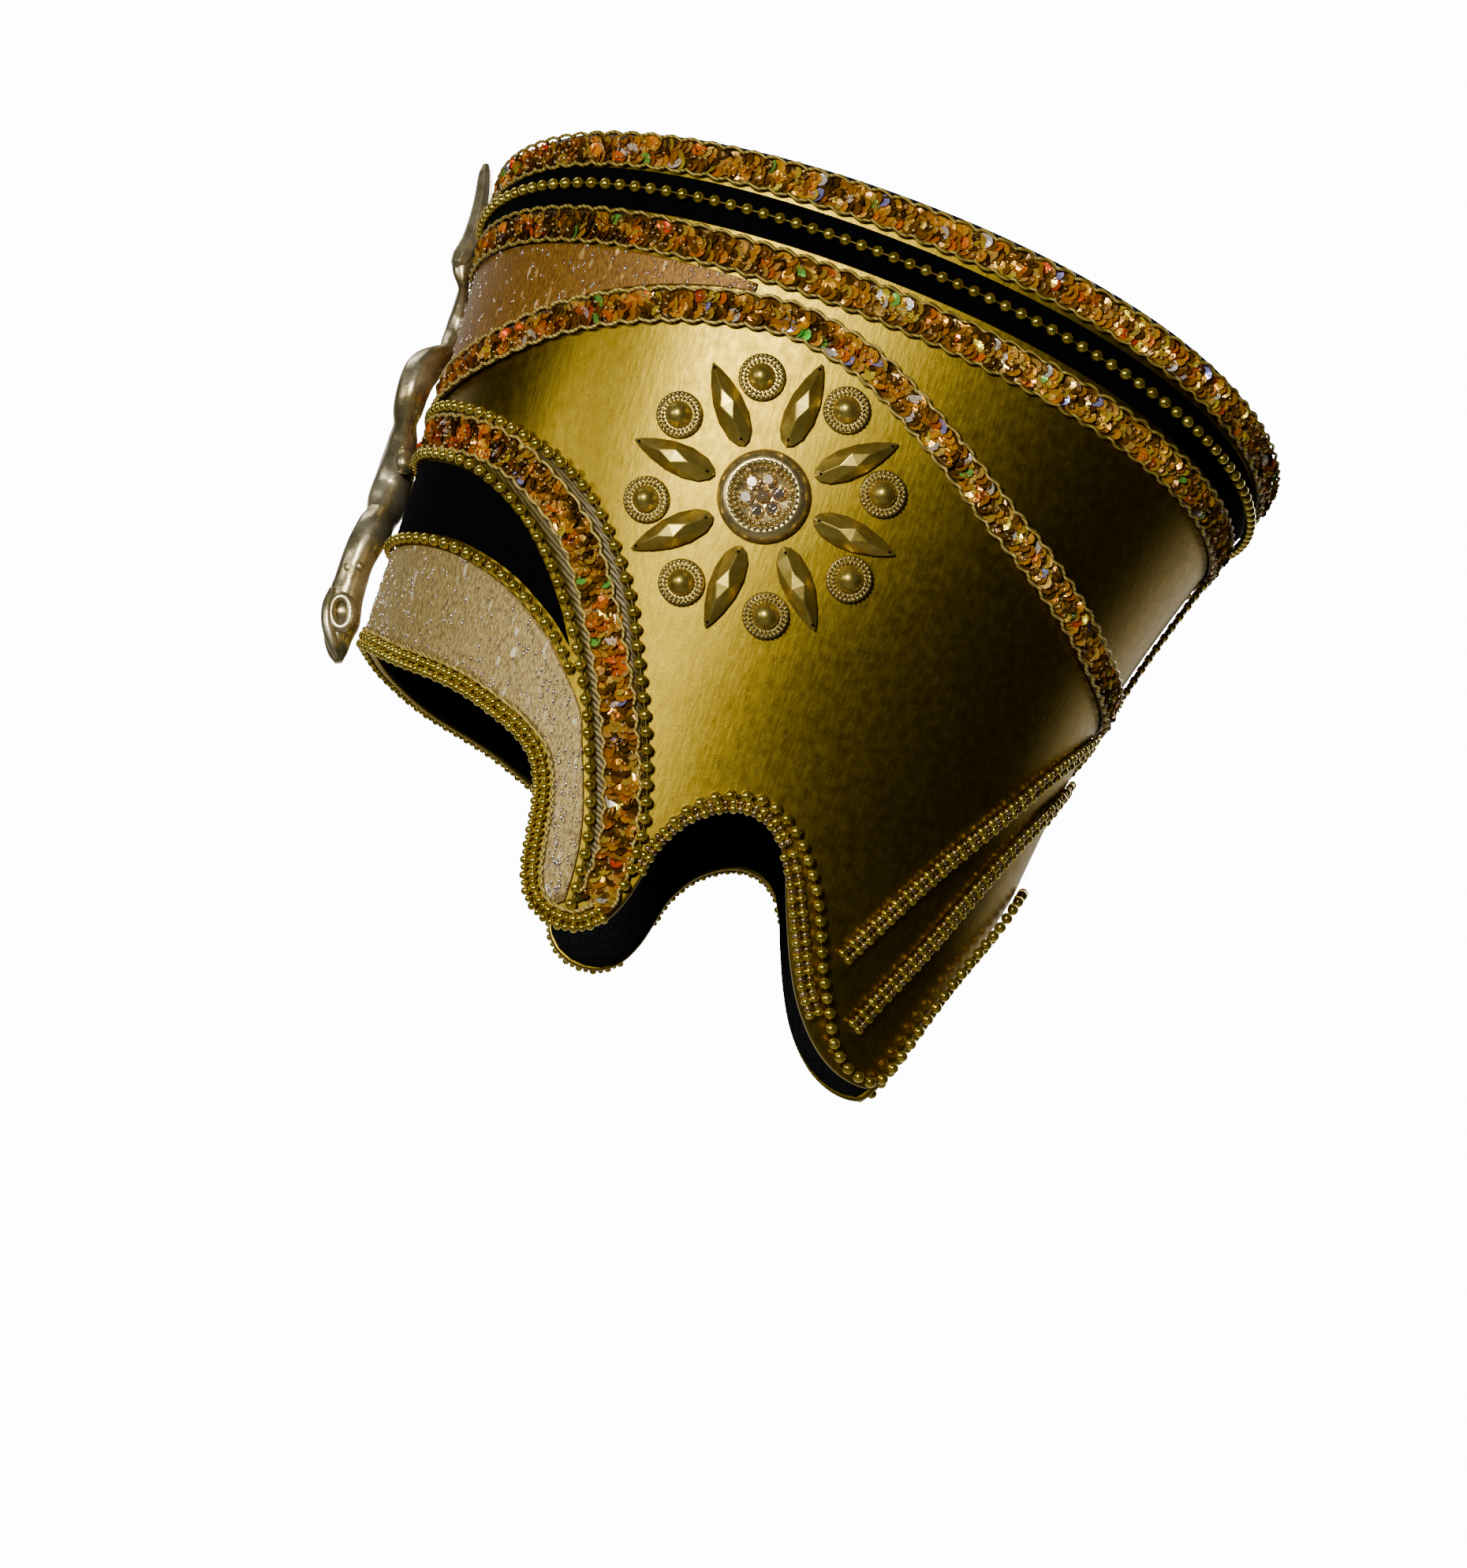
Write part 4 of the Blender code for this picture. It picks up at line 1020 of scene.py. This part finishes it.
def add_rosettes():
    """Disc with crystals, eight petals and eight cabochons on each side of the crown."""
    length, half = PETAL_OUTER_RADIUS - PETAL_INNER_RADIUS, PETAL_WIDTH / 2
    outline = PETAL_RIM + [(x, -y) for x, y in reversed(PETAL_RIM[1:-1])]
    stone = hull([(x * length * scale, y * half * scale, height)
                  for height, scale in ((0.0, 0.97), (1.1, 1.0)) for x, y in outline]
                 + [(x * length, y * half, z * PETAL_HEIGHT) for x, y, z in PETAL_FACETS])
    dome, base = turned(CABOCHON_DOME, 28), turned(CABOCHON_BASE, 32)
    for side, mirror in (("left", 1), ("right", -1)):
        add_disc(side, *stone_frame(ROSETTE_CENTRE, mirror))
        for k in range(PETALS):
            turn = PETAL_FIRST_ANGLE + 360 * k / PETALS
            place = on_wall_near(ROSETTE_CENTRE, turn, PETAL_INNER_RADIUS + length / 2)
            tip = on_wall_near(ROSETTE_CENTRE, turn, PETAL_OUTER_RADIUS)
            add_petal(f"{side}_{k + 1}", stone, length, *stone_frame(place, mirror, tip))
            turn = CABOCHON_FIRST_ANGLE + 360 * k / PETALS
            place = on_wall_near(ROSETTE_CENTRE, turn, CABOCHON_RING_RADIUS)
            add_cabochon(f"{side}_{k + 1}", dome, base, *stone_frame(place, mirror))


def add_petal(label, stone, length, origin, axes):
    """One petal, with a small black ball near each point as painted shade in its thread hole."""
    node = f"rosette_petal_{label}"
    shapes, hole_shades = Shapes(), Shapes()
    shapes.scatter(stone, [origin], axes[None])
    soften(shapes.piece(f"petal_{label}", "painted_stone", node, flat=True), 0.9)
    for share, height in PETAL_HOLES:
        # Painted shade: a black ball in each thread hole stands in for the shade inside it.
        hole_shades.scatter(ball(8, 6), [origin + axes[0] * share * length + axes[2] * height], (axes * 0.5)[None])
    hole_shades.piece(f"petal_hole_shades_{label}", "black_cloth", node)


def add_cabochon(label, dome, base, origin, axes):
    """Smooth dome in a double ring of fine beads."""
    node = f"rosette_cabochon_{label}"
    shapes = Shapes()
    for shape in (base, dome):
        shapes.scatter(shape, [origin], axes[None])
    shapes.piece(f"cabochon_{label}", "painted_stone", node)
    add_bead_rings(f"cabochon_beads_{label}", node, origin, axes, CABOCHON_BEADS)


def add_disc(side, origin, axes):
    """Metal disc with two rings of beads round a cluster of crystals."""
    node = f"rosette_disc_{side}"
    plate, stones = Shapes(), Shapes()
    plate.scatter(turned(DISC_RIM, 56), [origin], axes[None])
    plate.piece(f"rosette_plate_{side}", "polished_plate", node)
    add_bead_rings(f"rosette_beads_{side}", node, origin, axes, DISC_BEADS)

    octagon = [(cos(radians(45 * k + 22.5)), sin(radians(45 * k + 22.5))) for k in range(8)]
    gem = hull([(x * scale, y * scale, height) for scale, height in CRYSTAL_CUT for x, y in octagon], True)
    around = [radians(60 * k) for k in range(6)]
    seats = [(0, 0, 2.8)] + [(CRYSTAL_RING * cos(a), CRYSTAL_RING * sin(a), 2.75) for a in around]
    for (x, y, radius), tint in zip(seats, np.linspace(0.1, 0.9, len(seats))):
        tilt = np.array(Matrix.Rotation(radians(8 * sin(5 * x + 3 * y)), 3, "X"))
        stones.scatter(gem, [origin + (x, y, CRYSTAL_HEIGHT) @ axes], (tilt @ axes * radius)[None], tint)
    stones.piece(f"crystals_{side}", "crystal", node, flat=True)


# Serpent

SERPENT_STATIONS = 300
SERPENT_SIDES = 40
SERPENT_FULLNESS = 1.02
# Creases between its coils: height, share of the thickness that is lost, half length
CREASES = [(132.6, 0.16, 2.2), (107.5, 0.22, 2.6), (80.0, 0.20, 3.0), (46.5, 0.12, 3.0)]
KEEL_HEIGHT, KEEL_PLACE, KEEL_SPREAD = 0.10, radians(50), 0.30
# Where the head is narrower at the eyes: height, half length, share of the width that is lost
EYE_SOCKET = (11.0, 4.4, 0.30)
# Tail spike: x, y, z, half width, half thickness
SPIKE = [
    (0.4, -53.1, 179.4, 1.5, 1.3), (0.6, -53.4, 176, 2.5, 2.5), (0.8, -54.2, 166, 3.3, 3.3),
    (1.2, -55.9, 157, 3.6, 3.7), (1.6, -58.2, 149, 3.9, 4.0), (2.2, -60.8, 143.4, 4.3, 4.4),
    (2.6, -62.3, 139.8, 3.8, 3.4), (2.8, -63.2, 137.2, 1.2, 1.2),
]
# Eye ring on one side: x, y, z, half length, half height and tube radius
EYE_RING = (6.3, -102.2, 10.6, 3.5, 5.6, 2.0)
# Jaw and nodules on one side: x, y, z and radius
JAW = [
    (5.2, -105.2, 19.5, 1.5), (6.2, -106.8, 13.5, 2.2), (6.3, -107.0, 7.5, 2.4), (5.8, -106.0, 2.5, 2.3),
    (4.8, -104.6, -2.0, 1.9), (3.4, -103.6, -5.4, 1.1),
]
NODULES = [
    (5.6, -99.8, 27.0, 2.3), (6.0, -96.0, 27.4, 2.0), (5.2, -81.0, 66.0, 3.4), (6.2, -97.2, 33.5, 1.5),
]


def loft(rows, count, sides, shape):
    """Closed loft with oval sections: shape gives each point's two distances from the middle line."""
    rows = np.array(rows, float)
    steps = np.linalg.norm(np.diff(rows[:, :3], axis=0), axis=1)
    run = np.concatenate([[0], np.cumsum(steps)])
    fine = smooth(np.column_stack([run, rows]), np.linspace(0, run[-1], count))[:, 1:]
    along = unit(np.gradient(fine[:, :3], axis=0))
    ahead = np.array([0.0, -1.0, 0.0])
    front = unit(ahead - along * (along @ ahead)[:, None])
    sideways, forward = shape(fine, np.linspace(0, 2 * pi, sides, endpoint=False))
    grid = (fine[:, None, :3] + sideways[:, :, None] * np.cross(front, along)[:, None, :]
            + forward[:, :, None] * front[:, None, :])
    return grid, tube_faces(count, sides)


def body_section(fine, turns):
    """Sections of the body: creased between the coils, keeled along both sides, sunk at the eyes."""
    height = fine[:, 2]
    full = np.full(len(fine), SERPENT_FULLNESS)
    for place, share, half in CREASES:
        full *= 1 - share * np.exp(-((height - place) / half) ** 2)
    keel = sum(np.exp(-((turns - place) / KEEL_SPREAD) ** 2) for place in (KEEL_PLACE, pi - KEEL_PLACE))
    swell = 1 + KEEL_HEIGHT * keel
    place, half, share = EYE_SOCKET
    sunk = 1 - share * np.exp(-((height - place) / half) ** 2)
    return (np.outer(fine[:, 3] * full * sunk, np.cos(turns) * swell),
            np.outer(fine[:, 4] * full, np.sin(turns) * swell))


def spike_section(fine, turns):
    """Plain oval sections."""
    return np.outer(fine[:, 3], np.cos(turns)), np.outer(fine[:, 4], np.sin(turns))


def add_serpent():
    """Cast serpent down the front: coiled body, faceted tail spike, and a head with ring eyes."""
    body, spike = Shapes(), Shapes()
    body.add(*loft(SERPENT, SERPENT_STATIONS, SERPENT_SIDES, body_section))
    x, y, z, half_y, half_z, radius = EYE_RING
    turns = np.linspace(0, 2 * pi, 48, endpoint=False)
    spokes = np.stack([0 * turns, np.cos(turns), np.sin(turns)], axis=1)
    jaw = smooth(np.column_stack([np.arange(len(JAW)), JAW]), np.linspace(0, len(JAW) - 1, 40))[:, 1:]
    for mirror in (1, -1):
        body.tube((mirror * x, y, z) + spokes * (0, half_y, half_z), np.tile([1.0, 0, 0], (48, 1)), spokes,
                  radius, sides=14, closed=True)
        jaw_points = jaw[:, :3] * (mirror, 1, 1)
        along = unit(np.gradient(jaw_points, axis=0))
        sidewise = unit(np.array([1.0, 0, 0]) - along * along[:, :1])
        body.tube(jaw_points, sidewise, np.cross(along, sidewise), jaw[:, 3][:, None, None], sides=14)
        for *spot, size in NODULES:
            axes = np.array([(0, size, 0), (0, 0, size * 1.35), (size, 0, 0)])
            body.scatter(ball(16, 12), [np.array(spot) * (mirror, 1, 1)], axes[None])
    body.piece("serpent", "cast_metal", "serpent_ornament")
    spike.add(*loft(SPIKE, 14, 8, spike_section))
    soften(spike.piece("serpent_spike", "cast_metal", "serpent_ornament", flat=True), 0.3, 25)


# Stage

LIT_PLACE = (0.0, 0.05, 0.0)
# Square lights: name, place, size, power
LIGHTS = (("key", (1.05, -0.22, 0.12), 0.15, 8.4), ("side_light", (0.75, -0.85, 0.12), 0.3, 1.6),
          ("back_light", (-0.9, 0.7, 0.5), 0.7, 12), ("top_light", (-0.2, -0.5, 1.2), 0.6, 3))
FLOOR_RADIUS = 6.0
FLOOR_FADE = (0.02, 0.10)
FLOOR_SHOWN = 0.4
BACKGROUND = 14.0
WALL_SIDE = 0.75
ROOM_SIDE = 0.012


def add_stage():
    """Camera, lights, floor and background."""
    tilt = radians(CAMERA_UP_ANGLE)
    ahead = Vector(CAMERA_PLACE) + Vector((-cos(tilt), 0, sin(tilt)))
    camera = bpy.data.cameras.new("camera")
    camera.lens = CAMERA_LENS
    bpy.context.scene.camera = add_aimed(camera, CAMERA_PLACE, ahead)
    for name, place, size, power in LIGHTS:
        light = bpy.data.lights.new(name, "AREA")
        light.size = size
        light.energy = power
        add_aimed(light, place, LIT_PLACE)
    add_floor()
    add_world()


def add_aimed(data, place, target):
    """Camera or light at a place, turned to a point."""
    item = bpy.data.objects.new(data.name, data)
    bpy.context.scene.collection.objects.link(item)
    item.location = place
    item.rotation_euler = (Vector(target) - Vector(place)).to_track_quat("-Z", "Y").to_euler()
    return item


def add_floor():
    """Grey round floor that fades out into the background, so that no horizon shows."""
    mesh = bpy.data.meshes.new("floor")
    bm = bmesh.new()
    bmesh.ops.create_circle(bm, cap_ends=True, radius=FLOOR_RADIUS, segments=96)
    bm.to_mesh(mesh)
    bm.free()
    ground = bpy.data.objects.new("floor", mesh)
    ground.location.z = FLOOR_HEIGHT
    bpy.context.scene.collection.objects.link(ground)
    look = Look("floor_paper")
    colour = look.mix(look.noise(3.0), (0.50, 0.50, 0.50), (0.54, 0.54, 0.54))
    away = look.node("ShaderNodeTexGradient", "Fac", {"Vector": look.place((1 / FLOOR_RADIUS,) * 3)},
                     gradient_type="SPHERICAL")
    shown = look.ramp(away, [(1 - FLOOR_FADE[1], 0.0), (1 - FLOOR_FADE[0], FLOOR_SHOWN)])
    mesh.materials.append(look.set(base_color=colour, roughness=0.8, alpha=shown))


def add_world():
    """Even pale background; what lights and shows in the metal is a pale wall behind and a dim room."""
    world = bpy.data.worlds.new("studio")
    bpy.context.scene.world = world
    world.use_nodes = True
    tree = world.node_tree
    around = tree.nodes["Background"]
    made = [tree.nodes.new(f"ShaderNode{kind}")
            for kind in ("TexCoord", "SeparateXYZ", "MapRange", "Background", "LightPath", "MixShader")]
    direction, parts, spread, seen, path, mixed = made
    spread.interpolation_type = "SMOOTHSTEP"
    for key, value in (("From Min", -0.3), ("From Max", -0.85),
                       ("To Min", ROOM_SIDE), ("To Max", WALL_SIDE)):
        spread.inputs[key].default_value = value
    around.inputs["Color"].default_value = (1.0, 0.98, 0.95, 1)
    seen.inputs["Color"].default_value = (0.97, 0.98, 1.0, 1)
    seen.inputs["Strength"].default_value = BACKGROUND
    surface = tree.nodes["World Output"].inputs["Surface"]
    for source, target in ((direction.outputs["Generated"], parts.inputs["Vector"]),
                           (parts.outputs["X"], spread.inputs["Value"]),
                           (spread.outputs["Result"], around.inputs["Strength"]),
                           (path.outputs["Is Camera Ray"], mixed.inputs["Fac"]),
                           (around.outputs["Background"], mixed.inputs[1]),
                           (seen.outputs["Background"], mixed.inputs[2]),
                           (mixed.outputs["Shader"], surface)):
        tree.links.new(source, target)


add_stage()
add_cap()
add_rim()
add_side_trim()
add_brow()
add_edges()
add_rosettes()
add_serpent()
